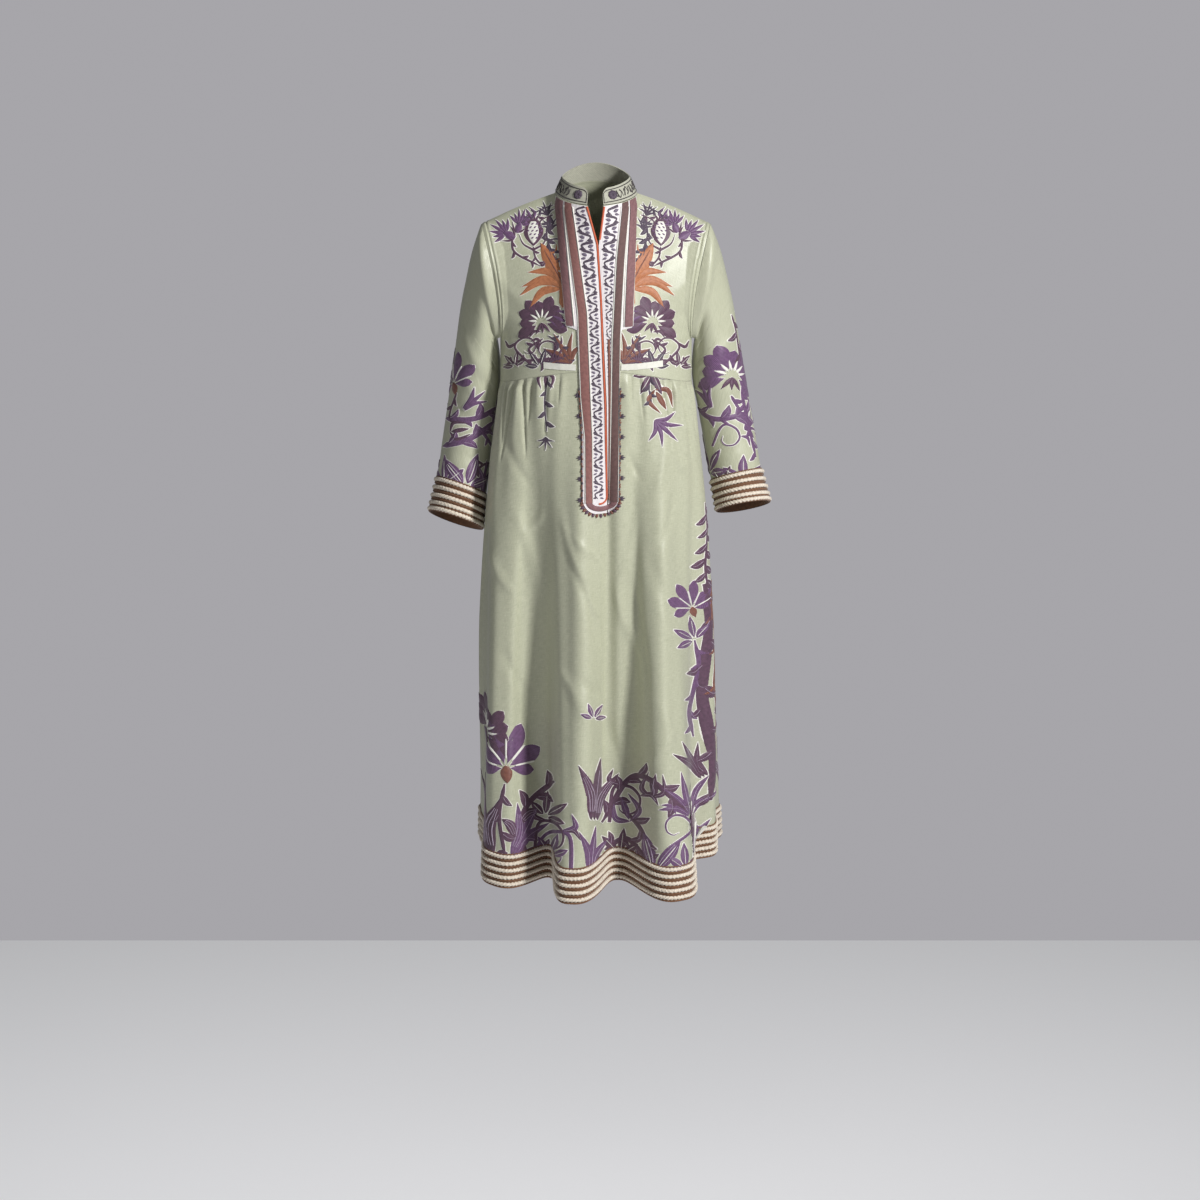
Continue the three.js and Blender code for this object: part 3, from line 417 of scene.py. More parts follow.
class Cloth:
    """A grid of points, rows going down and columns across, with normals facing out, in millimetres."""

    def __init__(self, surface, us, vs, turn, detail=None):
        self.u, self.v = np.meshgrid(us, vs)
        self.lay(surface(self.u, self.v), turn)
        if detail is not None:
            self.lay(self.points + self.normals * detail(self)[..., None], turn)

    @classmethod
    def of_points(cls, points, turn):
        cloth = cls.__new__(cls)
        cloth.lay(points, turn)
        return cloth

    def lay(self, points, turn):
        """Takes the points, and finds their normals and the lengths across and down to each."""
        self.points, self.turn, self.shape = points, turn, points.shape[:2]
        across = np.gradient(self.points, axis=1)
        down = np.gradient(self.points, axis=0)
        self.normals = unit(np.cross(across, down)) * self.turn
        steps = np.linalg.norm(np.diff(self.points, axis=1), axis=-1)
        self.across = np.concatenate([np.zeros((len(steps), 1)), np.cumsum(steps, axis=1)], axis=1)
        steps = np.linalg.norm(np.diff(self.points, axis=0), axis=-1)
        self.down = np.concatenate([np.zeros((1, steps.shape[1])), np.cumsum(steps, axis=0)], axis=0)

    def sample(self, grid, row, column):
        """Bilinear value of a grid at fractional rows and columns, straight on past its edges."""
        r = clamp(np.floor(row), 0, self.shape[0] - 2).astype(int)
        c = clamp(np.floor(column), 0, self.shape[1] - 2).astype(int)
        fr, fc = (row - r)[..., None], (column - c)[..., None]
        a, b, d, e = grid[r, c], grid[r, c + 1], grid[r + 1, c], grid[r + 1, c + 1]
        value = (a * (1 - fc) + b * fc) * (1 - fr) + (d * (1 - fc) + e * fc) * fr
        along_row = (b - a) * (1 - fr) + (e - d) * fr
        along_column = (d - a) * (1 - fc) + (e - b) * fc
        return value, along_row, along_column

    def locate(self, x, h, plane=(0.0, 1.0)):
        """Fractional rows and columns of the points with this X and height on the side that is seen.

        The height is that of seen_height, so it may be the one in a view from above.
        """
        x, h = np.broadcast_arrays(np.asarray(x, float), np.asarray(h, float))
        flat_x, flat_h = x.ravel(), h.ravel()
        heights = seen_height(self.points, plane)
        coarse = (slice(None, None, SEEK_STEP), slice(None, None, SEEK_STEP))
        coarse_x, coarse_h, normals = self.points[coarse][..., 0], heights[coarse], self.normals[coarse]
        facing = normals[..., 2] * plane[0] - normals[..., 1] * plane[1]
        if plane[0] < 0:
            facing = -facing
        hidden = HIDDEN_COST * (facing < LEAST_FACING)
        row = np.empty(flat_x.shape)
        column = np.empty(flat_x.shape)
        for start in range(0, len(flat_x), SEEK_PART):
            part = slice(start, start + SEEK_PART)
            dx = flat_x[part, None] - coarse_x.ravel()[None]
            dh = flat_h[part, None] - coarse_h.ravel()[None]
            nearest = np.argmin(dx * dx + dh * dh + hidden.ravel()[None], axis=1)
            row[part] = nearest // coarse_x.shape[1] * SEEK_STEP
            column[part] = nearest % coarse_x.shape[1] * SEEK_STEP
        for _ in range(SEEK_ROUNDS):
            here, per_column, per_row = self.sample(self.points, row, column)
            height, column_h, row_h = (seen_height(a, plane) for a in (here, per_column, per_row))
            det = per_column[:, 0] * row_h - per_row[:, 0] * column_h
            det = np.where(np.abs(det) < LEAST_SLOPE, LEAST_SLOPE, det)
            miss_x, miss_h = flat_x - here[:, 0], flat_h - height
            step_c = (miss_x * row_h - miss_h * per_row[:, 0]) / det
            step_r = (miss_h * per_column[:, 0] - miss_x * column_h) / det
            column = clamp(column + clamp(step_c, -SEEK_STRIDE, SEEK_STRIDE), -2, self.shape[1] + 1)
            row = clamp(row + clamp(step_r, -SEEK_STRIDE, SEEK_STRIDE), -2, self.shape[0] + 1)
        return row.reshape(x.shape), column.reshape(x.shape)

    def along_row(self, row, column, step):
        """The columns that lie step mm farther along their rows."""
        places = np.arange(self.shape[1])
        low = clamp(np.floor(row), 0, self.shape[0] - 2).astype(int)
        got = np.array(column, float)
        for r in np.unique(low[step != 0]):
            mask = (low == r) & (step != 0)
            ends = []
            for table in (self.across[r], self.across[r + 1]):
                start = np.interp(column[mask], places, table)
                ends.append(np.interp(start + step[mask], table, places))
            got[mask] = lerp(*ends, row[mask] - r)
        return got

    def place(self, row, column, lift=0.0):
        point = self.sample(self.points, row, column)[0]
        normal = unit(self.sample(self.normals, row, column)[0])
        return point + normal * np.asarray(lift, float)[..., None], normal


# ---------- meshes ----------


def mesh_object(name, points, faces, material, uvs, sharp=40):
    mesh = bpy.data.meshes.new(name)
    mesh.from_pydata((np.asarray(points) * MM).tolist(), [], faces)
    layer = mesh.uv_layers.new(name="UVMap")
    index = np.empty(len(mesh.loops), dtype=np.int32)
    mesh.loops.foreach_get("vertex_index", index)
    layer.data.foreach_set("uv", np.asarray(uvs, dtype=np.float32)[index].ravel())
    mesh.shade_smooth()
    mesh.set_sharp_from_angle(angle=math.radians(sharp))
    mesh.materials.append(material)
    mesh.validate()
    obj = bpy.data.objects.new(name, mesh)
    bpy.context.scene.collection.objects.link(obj)
    return obj


def grid_faces(ids, flip=False):
    quads = np.stack([ids[:-1, :-1], ids[:-1, 1:], ids[1:, 1:], ids[1:, :-1]], -1).reshape(-1, 4)
    return (quads[:, ::-1] if flip else quads).tolist()


def stitch(row_a, row_b):
    """Triangles between two rows of vertex numbers with different counts."""
    faces = []
    i = j = 0
    last_a, last_b = len(row_a) - 1, len(row_b) - 1
    while i < last_a or j < last_b:
        if j == last_b or (i < last_a and (i + 1) * last_b <= (j + 1) * last_a):
            faces.append((row_a[i], row_b[j], row_a[i + 1]))
            i += 1
        else:
            faces.append((row_a[i], row_b[j], row_b[j + 1]))
            j += 1
    return faces


def thinned(count, step):
    ids = list(range(0, count, step))
    return ids if ids[-1] == count - 1 else [*ids, count - 1]


def shell(name, cloth, material, thickness=1.6, inner_step=3, lift=0.0):
    """A thin wall: the cloth's grid outside, a coarser one inside, and rims."""
    rows, columns = cloth.shape
    outer = cloth.points + cloth.normals * lift
    keep_r, keep_c = thinned(rows, inner_step), thinned(columns, inner_step)
    inner = (outer - cloth.normals * thickness)[np.ix_(keep_r, keep_c)]
    uv = np.stack([cloth.across, cloth.down], -1) * MM
    points = np.concatenate([outer.reshape(-1, 3), inner.reshape(-1, 3)])
    uvs = np.concatenate([uv.reshape(-1, 2), uv[np.ix_(keep_r, keep_c)].reshape(-1, 2)])
    ids = np.arange(rows * columns).reshape(rows, columns)
    inner_ids = rows * columns + np.arange(len(keep_r) * len(keep_c)).reshape(len(keep_r), len(keep_c))
    flip = cloth.turn < 0
    faces = grid_faces(ids, flip=not flip) + grid_faces(inner_ids, flip=flip)
    rims = [
        (ids[0], inner_ids[0], False),
        (ids[-1], inner_ids[-1], True),
        (ids[:, 0], inner_ids[:, 0], True),
        (ids[:, -1], inner_ids[:, -1], False),
    ]
    for outside, inside, reverse in rims:
        for face in stitch(outside.tolist(), inside.tolist()):
            faces.append(face[::-1] if reverse == flip else face)
    return mesh_object(name, points, faces, material, uvs)


class Pile:
    """Gathers many small grids into one mesh."""

    def __init__(self):
        self.points, self.faces, self.uvs, self.count = [], [], [], 0

    def grid(self, points, uvs, flip=False, wrap=False):
        rows, columns = points.shape[:2]
        ids = self.count + np.arange(rows * columns).reshape(rows, columns)
        if wrap:
            ids = np.concatenate([ids, ids[:, :1]], axis=1)
        self.points.append(points.reshape(-1, 3))
        self.uvs.append(uvs.reshape(-1, 2))
        self.faces += grid_faces(ids, flip)
        self.count += rows * columns

    def build(self, name, material, sharp=60):
        return mesh_object(
            name, np.concatenate(self.points), self.faces, material, np.concatenate(self.uvs), sharp
        )


# ---------- materials ----------


class Nodes:
    """Short ways to add and link shader nodes."""

    def __init__(self, name):
        self.material = bpy.data.materials.new(name)
        self.material.use_nodes = True
        self.tree = self.material.node_tree
        self.shader = self.tree.nodes["Principled BSDF"]

    def add(self, kind, **inputs):
        node = self.tree.nodes.new(kind)
        for key, value in inputs.items():
            self.put(node, key, value)
        return node

    def put(self, node, key, value):
        socket = node.inputs[key.replace("_", " ")] if isinstance(key, str) else node.inputs[key]
        if isinstance(value, bpy.types.NodeSocket):
            self.tree.links.new(value, socket)
        else:
            socket.default_value = value

    def noise(self, vector):
        return self.add("ShaderNodeTexNoise", Vector=vector, Scale=1.0, Detail=3, Roughness=0.5).outputs[0]

    def stretch(self, vector, factors):
        return self.add("ShaderNodeMapping", Vector=vector, Scale=factors).outputs[0]

    def ramp(self, value, stops):
        node = self.add("ShaderNodeValToRGB", Fac=value)
        ramp = node.color_ramp
        while len(ramp.elements) < len(stops):
            ramp.elements.new(0.5)
        for element, (place, color) in zip(ramp.elements, stops):
            element.position = place
            element.color = (*color, 1)
        return node.outputs[0]

    def math(self, operation, a, b):
        node = self.tree.nodes.new("ShaderNodeMath")
        node.operation = operation
        self.put(node, 0, a)
        self.put(node, 1, b)
        return node.outputs[0]

    def bump(self, height, strength, distance):
        node = self.add("ShaderNodeBump", Height=height, Strength=strength, Distance=distance)
        self.put(self.shader, "Normal", node.outputs[0])


def srgb(r, g, b):
    """Linear colour of 8 bit values."""
    return tuple(((c / 255 + 0.055) / 1.055) ** 2.4 if c > 10 else c / 3295 for c in (r, g, b))


def satin_material():
    n = Nodes("satin")
    uv = n.add("ShaderNodeUVMap").outputs[0]
    slub_across = n.noise(n.stretch(uv, (60, 1400, 1)))
    slub_down = n.noise(n.stretch(uv, (1500, 90, 1)))
    weave = n.math("ADD", slub_across, slub_down)
    tones = [(0.34, srgb(158, 160, 136)), (0.66, srgb(190, 191, 168))]
    n.put(n.shader, "Base Color", n.ramp(n.math("MULTIPLY", weave, 0.5), tones))
    n.put(n.shader, "Roughness", 0.42)
    n.put(n.shader, "Sheen Weight", 0.2)
    n.put(n.shader, "Sheen Roughness", 0.45)
    n.put(n.shader, "Specular IOR Level", 0.62)
    n.bump(weave, 0.25, 0.0006)
    return n.material


def thread_material(name, low, high, roughness=0.6, across=900, sheen=0.2):
    """Embroidery thread: stitches run across the UV's first direction."""
    n = Nodes(name)
    uv = n.add("ShaderNodeUVMap").outputs[0]
    stitches = n.stretch(uv, (1, 0.35, 1))
    wave = n.add("ShaderNodeTexWave", Vector=stitches, Scale=across / 6.3, Distortion=1.2)
    wave.bands_direction = "X"
    tone = n.noise(n.stretch(uv, (160, 160, 1)))
    mixed = n.math("ADD", n.math("MULTIPLY", wave.outputs["Fac"], 0.45), n.math("MULTIPLY", tone, 0.75))
    n.put(n.shader, "Base Color", n.ramp(mixed, [(0.2, low), (0.85, high)]))
    n.put(n.shader, "Roughness", roughness)
    n.put(n.shader, "Sheen Weight", sheen)
    n.bump(wave.outputs["Fac"], 0.5, 0.0004)
    return n.material


# material's name, dark tone, light tone, then roughness, stitches across and sheen where they differ
THREADS = {
    "collar": ("collar_ground", (150, 150, 136), (184, 183, 166), 0.7, 700, 0.1),
    "cream": ("cream_cord", (170, 154, 134), (236, 226, 210), 0.7),
    "brown": ("brown_cord", (72, 44, 26), (128, 86, 54), 0.7),
    "ground": ("placket_ground", (206, 200, 200), (230, 225, 226), 0.8, 700, 0.1),
    "ribbon": ("braid_mauve", (82, 52, 56), (140, 100, 102), 0.7, 1200),
    "ribbon_dark": ("braid_dark", (64, 44, 44), (110, 80, 76), 0.7, 1200),
    "ribbon_rust": ("braid_rust", (92, 56, 54), (148, 100, 94), 0.7, 1200),
    "piping": ("piping_orange", (160, 62, 34), (206, 98, 60), 0.55, 1500),
    "tab": ("tab_white", (196, 196, 184), (224, 222, 212), 0.75),
    "purple": ("thread_purple", (62, 40, 68), (116, 82, 120), 0.5),
    "plum": ("thread_plum", (52, 32, 46), (98, 66, 88), 0.5),
    "rust": ("thread_rust", (128, 72, 42), (186, 120, 80), 0.5),
    "umber": ("thread_umber", (80, 44, 38), (134, 84, 68), 0.5),
    "ink": ("thread_ink", (40, 32, 44), (86, 70, 88), 0.55),
    "lilac": ("thread_lilac", (128, 108, 132), (188, 174, 190), 0.55),
    "slate": ("thread_slate", (72, 62, 78), (116, 104, 124), 0.55),
    "black": ("thread_black", (26, 22, 24), (58, 50, 52), 0.55),
    "white": ("thread_white", (200, 199, 188), (232, 230, 222), 0.6),
}
MATERIALS = {"satin": satin_material()}
for key, (label, dark, light, *more) in THREADS.items():
    MATERIALS[key] = thread_material(label, srgb(*dark), srgb(*light), *more)

# ---------- the main cloth ----------

COARSE = 1


def grid_lines(columns, us, rows, vs):
    return np.linspace(*us, columns // COARSE), np.linspace(*vs, rows // COARSE)


def creases(points, table):
    """Soft troughs and ridges along curved lines in the front or back view.

    Each row: from x, z to x, z, bow of the line, width, how far it stands out.
    """
    out = np.zeros(points.shape[:2])
    x, z = points[..., 0], points[..., 2]
    for x0, z0, x1, z1, bow, width, height in table:
        length = math.hypot(x1 - x0, z1 - z0)
        along = ((x - x0) * (x1 - x0) + (z - z0) * (z1 - z0)) / length**2
        away = ((x - x0) * (z1 - z0) - (z - z0) * (x1 - x0)) / length
        away = away - bow * 4 * clamp(along) * (1 - clamp(along))
        fade = smooth(along, -0.12, 0.3) * smooth(1 - along, -0.12, 0.35)
        out += height * fade * np.exp(-((away / width) ** 2))
    return out


def gathers(cloth, spans, rng):
    """Uneven gathers below the waist seam."""
    below = cloth.down
    out = np.zeros(cloth.shape)
    for start, end, count in spans:
        for k in range(count):
            middle = lerp(start, end, (k + 0.5 + rng.uniform(-0.22, 0.22)) / count)
            wide = (end - start) / count * rng.uniform(0.24, 0.4)
            lean = rng.uniform(-1.6, 1.6)
            reach = rng.uniform(70, 190)
            size = rng.uniform(3.4, 6.4)
            away = turn_between(cloth.u, middle + lean * below / 100) / (wide * (1 + below / 160))
            out += size * np.exp(-(away**2)) * smooth(below, 0, 18) * np.exp(-((below / reach) ** 1.6))
    return out


def tucks(cloth, table):
    """Sharp troughs below the waist seam, each narrowing to a point: angle, lean, length, depth, width."""
    out = np.zeros(cloth.shape)
    for angle, lean, length, depth, width in table:
        away = turn_between(cloth.u, angle + lean * cloth.down / 100)
        mm_away = np.abs(away) * math.radians(1) * 150
        wide = width * (1.1 - 0.7 * clamp(cloth.down / length))
        fade = smooth(cloth.down, 0, 10) * clamp(1 - (cloth.down / length) ** 2) ** 0.7
        out -= depth * np.exp(-((mm_away / wide) ** 1.4)) * fade
    return out


def skirt_detail(spans, table, seed, tuck_table):
    def detail(cloth):
        rng = np.random.default_rng(seed)
        out = gathers(cloth, spans, rng) + creases(cloth.points, table) + tucks(cloth, tuck_table)
        from_seam = np.abs(90 - np.abs(turn_between(cloth.u, 0)))
        return out * smooth(1 - cloth.v, 1 - BAND_TOP, 1 - BAND_TOP + 0.05) * smooth(from_seam, 0, 7)

    return detail


# from x, z, to x, z, bow, width, out
FRONT_LONG_FOLDS = [
    (-118, -390, -123, -1175, 5, 27, -16.0),
    (-32, -440, -32, -1230, -6, 21, 17.0),
    (21, -430, 18, -1200, -4, 11, -10.0),
    (74, -400, 70, -1180, 7, 16, -12.0),
    (114, -420, 128, -1200, 5, 19, 16.0),
    (176, -460, 180, -1160, -5, 13, -10.0),
    (-186, -440, -192, -1180, -5, 13, 6.0),
    (-198, -520, -206, -1160, 3, 12, -6.0),
]
BACK_LONG_FOLDS = [
    (-96, -420, -104, -1150, 6, 15, -9.0),
    (-30, -480, -20, -1190, -8, 22, 8.0),
    (34, -520, 44, -1170, 6, 12, -8.0),
    (96, -440, 116, -1180, -6, 22, 8.0),
    (160, -520, 170, -1150, 4, 14, -7.0),
    (-160, -500, -172, -1160, -5, 18, 7.0),
]

# angle, lean, length, depth, width
FRONT_TUCKS = [
    (-76, 3, 70, 4.5, 4.5),
    (-67, 2, 118, 6.0, 4.5),
    (-58, -4, 150, 6.5, 5.0),
    (-49, 4, 150, 7.0, 4.5),
    (-41, -2, 90, 5.0, 4.5),
    (-31, 1, 120, 6.0, 6.0),
    (-22, 0, 60, 3.5, 4.0),
    (21, 0, 70, 4.0, 4.0),
    (27, 1, 90, 4.5, 4.0),
    (34, -1, 60, 4.5, 4.0),
    (43, 2, 130, 6.0, 4.5),
    (52, -2, 80, 5.5, 4.5),
    (61, 4, 150, 6.0, 5.0),
    (71, 6, 100, 5.0, 4.5),
]
BACK_TUCKS = [
    (106, 2, 80, 5.0, 4.5),
    (118, -3, 120, 6.0, 4.5),
    (131, 3, 90, 5.0, 4.0),
    (143, 1, 150, 6.5, 5.0),
    (155, -2, 70, 5.0, 4.5),
    (167, 2, 110, 6.0, 4.5),
    (176, -1, 60, 4.5, 4.0),
    (189, 2, 130, 6.0, 5.0),
    (202, -3, 80, 5.0, 4.5),
    (214, 1, 140, 6.5, 4.5),
    (228, 3, 90, 5.0, 4.5),
    (241, -2, 120, 6.0, 5.0),
    (254, 1, 70, 4.5, 4.0),
]

# from x, z, to x, z, bow, width, out
SKIRT_FRONT_CREASES = [
    (-60, -560, -18, -700, 6, 8, 3.0),
    (-48, -640, -6, -800, -8, 7, -3.4),
    (-40, -600, 4, -640, 4, 6, 2.6),
    (34, -680, 78, -830, 8, 9, 3.4),
    (60, -700, 96, -900, -6, 8, -3.2),
    (-70, -840, -20, -960, -10, 9, 2.8),
    (96, -620, 150, -780, 10, 10, -2.8),
    (-150, -560, -104, -740, -10, 11, 3.4),
    (-140, -620, -96, -560, 6, 7, 2.6),
    (-190, -640, -150, -720, 5, 8, 2.8),
    (20, -930, 66, -1080, 8, 9, -2.6),
    (110, -900, 150, -1090, -8, 10, 2.8),
    (-120, -900, -96, -1100, 6, 10, -2.8),
    (-8, -1010, -44, -1120, -6, 7, 2.8),
    (-160, -430, -120, -520, 8, 8, -2.4),
    (120, -420, 96, -540, -8, 8, 2.8),
    (60, -450, 84, -500, 4, 6, -2.4),
    (134, -440, 168, -500, 6, 7, 2.8),
    (140, -520, 100, -640, -6, 8, -2.4),
    (-20, -700, 14, -760, 5, 6, 2.4),
    (-30, -860, 10, -900, 4, 7, -2.6),
    (70, -560, 40, -700, -5, 7, 2.4),
    (-168, -820, -120, -900, 7, 9, -2.6),
    (140, -960, 100, -1040, 6, 8, 2.4),
]
SKIRT_BACK_CREASES = [
    (60, -560, 20, -720, 8, 9, 3.2),
    (-40, -640, -90, -820, -8, 9, -3.2),
    (110, -700, 140, -900, 8, 10, 3.2),
    (-130, -560, -150, -760, 6, 10, -3.0),
    (10, -820, -30, -1000, -8, 9, 3.0),
    (70, -900, 100, -1080, 6, 9, -2.8),
    (-60, -460, -100, -560, 5, 7, 2.6),
    (120, -470, 90, -590, -5, 7, -2.6),
    (-20, -620, 20, -700, 4, 7, 2.6),
    (-120, -880, -80, -1000, -6, 9, 2.8),
]

SKIRT_ROWS = (160, (0.0003, BAND_TOP - 0.0003))
skirt_front = Cloth(
    skirt_surface,
    *grid_lines(300, (-89.96, 89.96), *SKIRT_ROWS),
    -1,
    skirt_detail([(-84, -15, 8), (15, 84, 8)], SKIRT_FRONT_CREASES + FRONT_LONG_FOLDS, 7, FRONT_TUCKS),
)
skirt_back = Cloth(
    skirt_surface,
    *grid_lines(240, (90.04, 269.96), *SKIRT_ROWS),
    -1,
    skirt_detail([(100, 260, 14)], SKIRT_BACK_CREASES + BACK_LONG_FOLDS, 11, BACK_TUCKS),
)

BODICE_CREASES = {
    "right": [
        (-64, -40, -60, -150, 4, 6, -1.2),
        (-185, -120, -120, -190, 8, 12, 1.6),
        (-168, -200, -90, -230, -8, 12, -1.4),
        (-160, -250, -110, -290, 4, 8, 1.4),
        (-70, -235, -60, -300, 3, 7, 1.2),
        (-140, -60, -100, -130, -5, 12, -1.0),
    ],
    "left": [
        (72, -40, 70, -150, -4, 6, -1.2),
        (188, -110, 124, -180, -8, 12, 1.6),
        (166, -210, 100, -236, 8, 12, -1.4),
        (156, -246, 112, -290, -4, 8, 1.4),
        (78, -240, 70, -300, -3, 7, 1.2),
        (138, -66, 104, -140, 5, 12, -1.0),
    ],
    "back": [
        (-150, -120, -60, -190, 8, 16, 1.8),
        (150, -110, 50, -200, -8, 16, 1.8),
        (-120, -230, -30, -250, -6, 12, -1.6),
        (130, -240, 40, -262, 6, 12, -1.6),
        (-20, -60, -10, -200, 3, 14, 1.4),
    ],
}


def bodice_detail(which):
    def detail(cloth):
        fade = smooth(cloth.v, 0.0, 0.06) * smooth(1 - cloth.v, 0.0, 0.05)
        if which == "back":
            fade = fade * smooth(cloth.u, 0, 0.05) * smooth(1 - cloth.u, 0, 0.05)
        else:
            fade = fade * smooth(1 - cloth.u, 0, 0.06)
        out = creases(cloth.points, BODICE_CREASES[which]) * fade
        # two rows of stitching that draw the cloth in beside the armhole
        edges = [cloth.across[:, -1:] - cloth.across] + ([cloth.across] if which == "back" else [])
        armhole = smooth(cloth.v, 0.0, 0.03) * smooth(ARMHOLE_SHARE - cloth.v, -0.02, 0.05)
        for away in edges:
            ridges = np.exp(-(((away - 4.5) / 1.9) ** 2)) + 0.8 * np.exp(-(((away - 11) / 2.3) ** 2))
            out += (1.3 * ridges - 0.9 * np.exp(-(((away - 7.8) / 1.3) ** 2))) * armhole
        return out

    return detail


fronts = {}
for name, side in SIDES.items():
    lines = grid_lines(130, (0.0003, 0.9994), 140, (0.0012, 0.9994))
    fronts[side] = Cloth(front_bodice(side), *lines, -side, bodice_detail(name))
lines = grid_lines(200, (0.0006, 0.9994), 120, (0.0012, 0.9994))
bodice_back = Cloth(back_bodice, *lines, 1, bodice_detail("back"))

# angle, along, angle size, along size, lean of the angle along the arm, out
SLEEVE_CREASES = [
    (60, 0.12, 26, 0.05, 300, 1.6),
    (115, 0.2, 22, 0.06, -260, -1.8),
    (78, 0.47, 30, 0.03, 200, 2.2),
    (112, 0.53, 26, 0.028, -240, -2.4),
    (70, 0.59, 28, 0.03, 160, 2.0),
    (125, 0.44, 24, 0.03, 240, 1.8),
    (50, 0.72, 26, 0.03, -160, 1.6),
    (100, 0.68, 24, 0.026, 220, -2.0),
    (92, 0.84, 30, 0.022, -120, 1.4),
    (20, 0.35, 24, 0.12, 60, 1.8),
    (-20, 0.55, 20, 0.1, -60, -1.8),
    (240, 0.5, 30, 0.04, 180, 2.0),
    (270, 0.58, 28, 0.035, -180, -2.2),
    (230, 0.66, 30, 0.04, 160, 2.0),
    (300, 0.3, 24, 0.1, 60, -1.6),
    (285, 0.78, 26, 0.04, -160, 1.6),
]


def sleeve_detail(arm):
    def detail(cloth):
        out = np.zeros(cloth.shape)
        rng = np.random.default_rng(3 if arm == "right" else 5)
        for angle, along, angle_size, along_size, lean, size in SLEEVE_CREASES:
            middle = angle + rng.uniform(-8, 8)
            place = along + rng.uniform(-0.02, 0.02)
            down = cloth.v - place
            away = turn_between(cloth.u, middle + lean * down)
            out += size * np.exp(-((away / angle_size) ** 2) - (down / along_size) ** 2)
        # small puckers round the sleeve's head
        for k in range(15):
            middle = -70 + 10 * k + rng.uniform(-3, 3)
            reach = rng.uniform(0.03, 0.07)
            away = turn_between(cloth.u, middle) / rng.uniform(2.2, 3.6)
            head = smooth(cloth.v, 0.004, 0.02) * np.exp(-((cloth.v / reach) ** 2))
            out += rng.uniform(0.6, 1.5) * np.exp(-(away**2)) * head
        fade = smooth(cloth.v, 0, 0.012) * smooth(CUFF_TOP - cloth.v, 0, 0.015)
        return out * fade

    return detail


sleeves = {}
for name, side in SIDES.items():
    lines = grid_lines(121, (180.0, 540.0), 190, (0.005, CUFF_TOP - 0.0006))
    sleeves[name] = Cloth(sleeve_surface(name), *lines, side, sleeve_detail(name))

# the columns lie closer together over the last 12 degrees, where the ends are round
collar = Cloth(
    collar_surface,
    np.concatenate(
        [
            COLLAR_LEFT_END + 12 * np.linspace(0, 1, 24)[:-1] ** 1.6,
            np.linspace(COLLAR_LEFT_END + 12, COLLAR_RIGHT_END + 348, 120),
            COLLAR_RIGHT_END + 360 - 12 * np.linspace(1, 0, 24)[1:] ** 1.6,
        ]
    ),
    np.linspace(0, 1, 16),
    1,
)


def fit(obj, node=None):
    """Lets a piece ride on the garment, in place of a CAD node."""
    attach(obj, "root")
    if node is not None:
        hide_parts(node)


def fit_sheet(obj, cloth, held, slot_name, node, **more):
    """The same for a piece of cloth."""
    fit(obj, node)


def add_cloth(name, cloth, node, held, material="satin"):
    fit_sheet(shell(name, cloth, MATERIALS[material]), cloth, held, "satin", node)


add_cloth("skirt_front_cloth", skirt_front, "skirt_front", "gathered")
add_cloth("skirt_back_cloth", skirt_back, "skirt_back", "gathered")
add_cloth("bodice_back_cloth", bodice_back, "bodice_back", "draped")
for name, side in SIDES.items():
    add_cloth("bodice_front_cloth_" + name, fronts[side], "bodice_front_" + name, "draped")
    add_cloth("sleeve_cloth_" + name, sleeves[name], "sleeve_" + name, "draped")
add_cloth("collar_cloth", collar, "collar", "stretched", "collar")

# ---------- corded bands ----------


def line_on(surface, us, v, turn):
    """Points, normals and downward directions along one row of a surface."""
    du, dv = 0.05, 0.001
    point = surface(us, v + 0 * us)
    across = surface(us + du, v + 0 * us) - surface(us - du, v + 0 * us)
    down = surface(us, v + dv + 0 * us) - surface(us, v - dv + 0 * us)
    normal = unit(np.cross(across, down)) * turn
    along = unit(across)
    down = unit(np.cross(along, normal))
    down = down * np.sign(np.sum(down * (surface(us, v + dv + 0 * us) - point), -1, keepdims=True))
    return point, normal, down, run_lengths(point)


# The cord's rings cover this angle to both sides. In radii: how far its middle stands off the cloth,
# how thick it is between two lumps, and how much thicker on one.
ROPE_ARC, ROPE_SEAT, ROPE_NECK, ROPE_SWELL = 115, 0.35, 0.58, 0.47


def rope(pile, surface, span, v, turn, radius, lump, spacing, lean):
    """A twisted cord sewn along a row, with a lump's length and the step between its rings in mm."""
    us = np.linspace(*span, 400)
    length = line_on(surface, us, v, turn)[3]
    count = int(length[-1] / spacing)
    us = np.interp(np.linspace(0, length[-1], count), length, us)
    point, normal, down, length = line_on(surface, us, v, turn)
    around = np.radians(np.linspace(-ROPE_ARC, ROPE_ARC, 6))[None, :]
    s = length[:, None]
    r = radius * (ROPE_NECK + ROPE_SWELL * np.abs(np.cos(around * lean - np.pi * s / lump)))
    out = normal[:, None] * (r * np.cos(around) + radius * ROPE_SEAT)[..., None]
    side = down[:, None] * (r * np.sin(around))[..., None]
    uvs = np.stack(np.broadcast_arrays(s * MM, np.degrees(around) * radius * 0.0175 * MM), -1)
    pile.grid(point[:, None] + out + side, uvs, flip=True)


BAND_CORDS = 5
# in shares of a cord's room: place, radius; then the length of one lump and the step along it
CREAM_CORD = (0.44, 0.29, 6.5, 1.4)
BROWN_CORD = (0.87, 0.15, 3.4, 1.4)
EDGE_CORD = (0.06, 0.11, 6.0, 1.5)


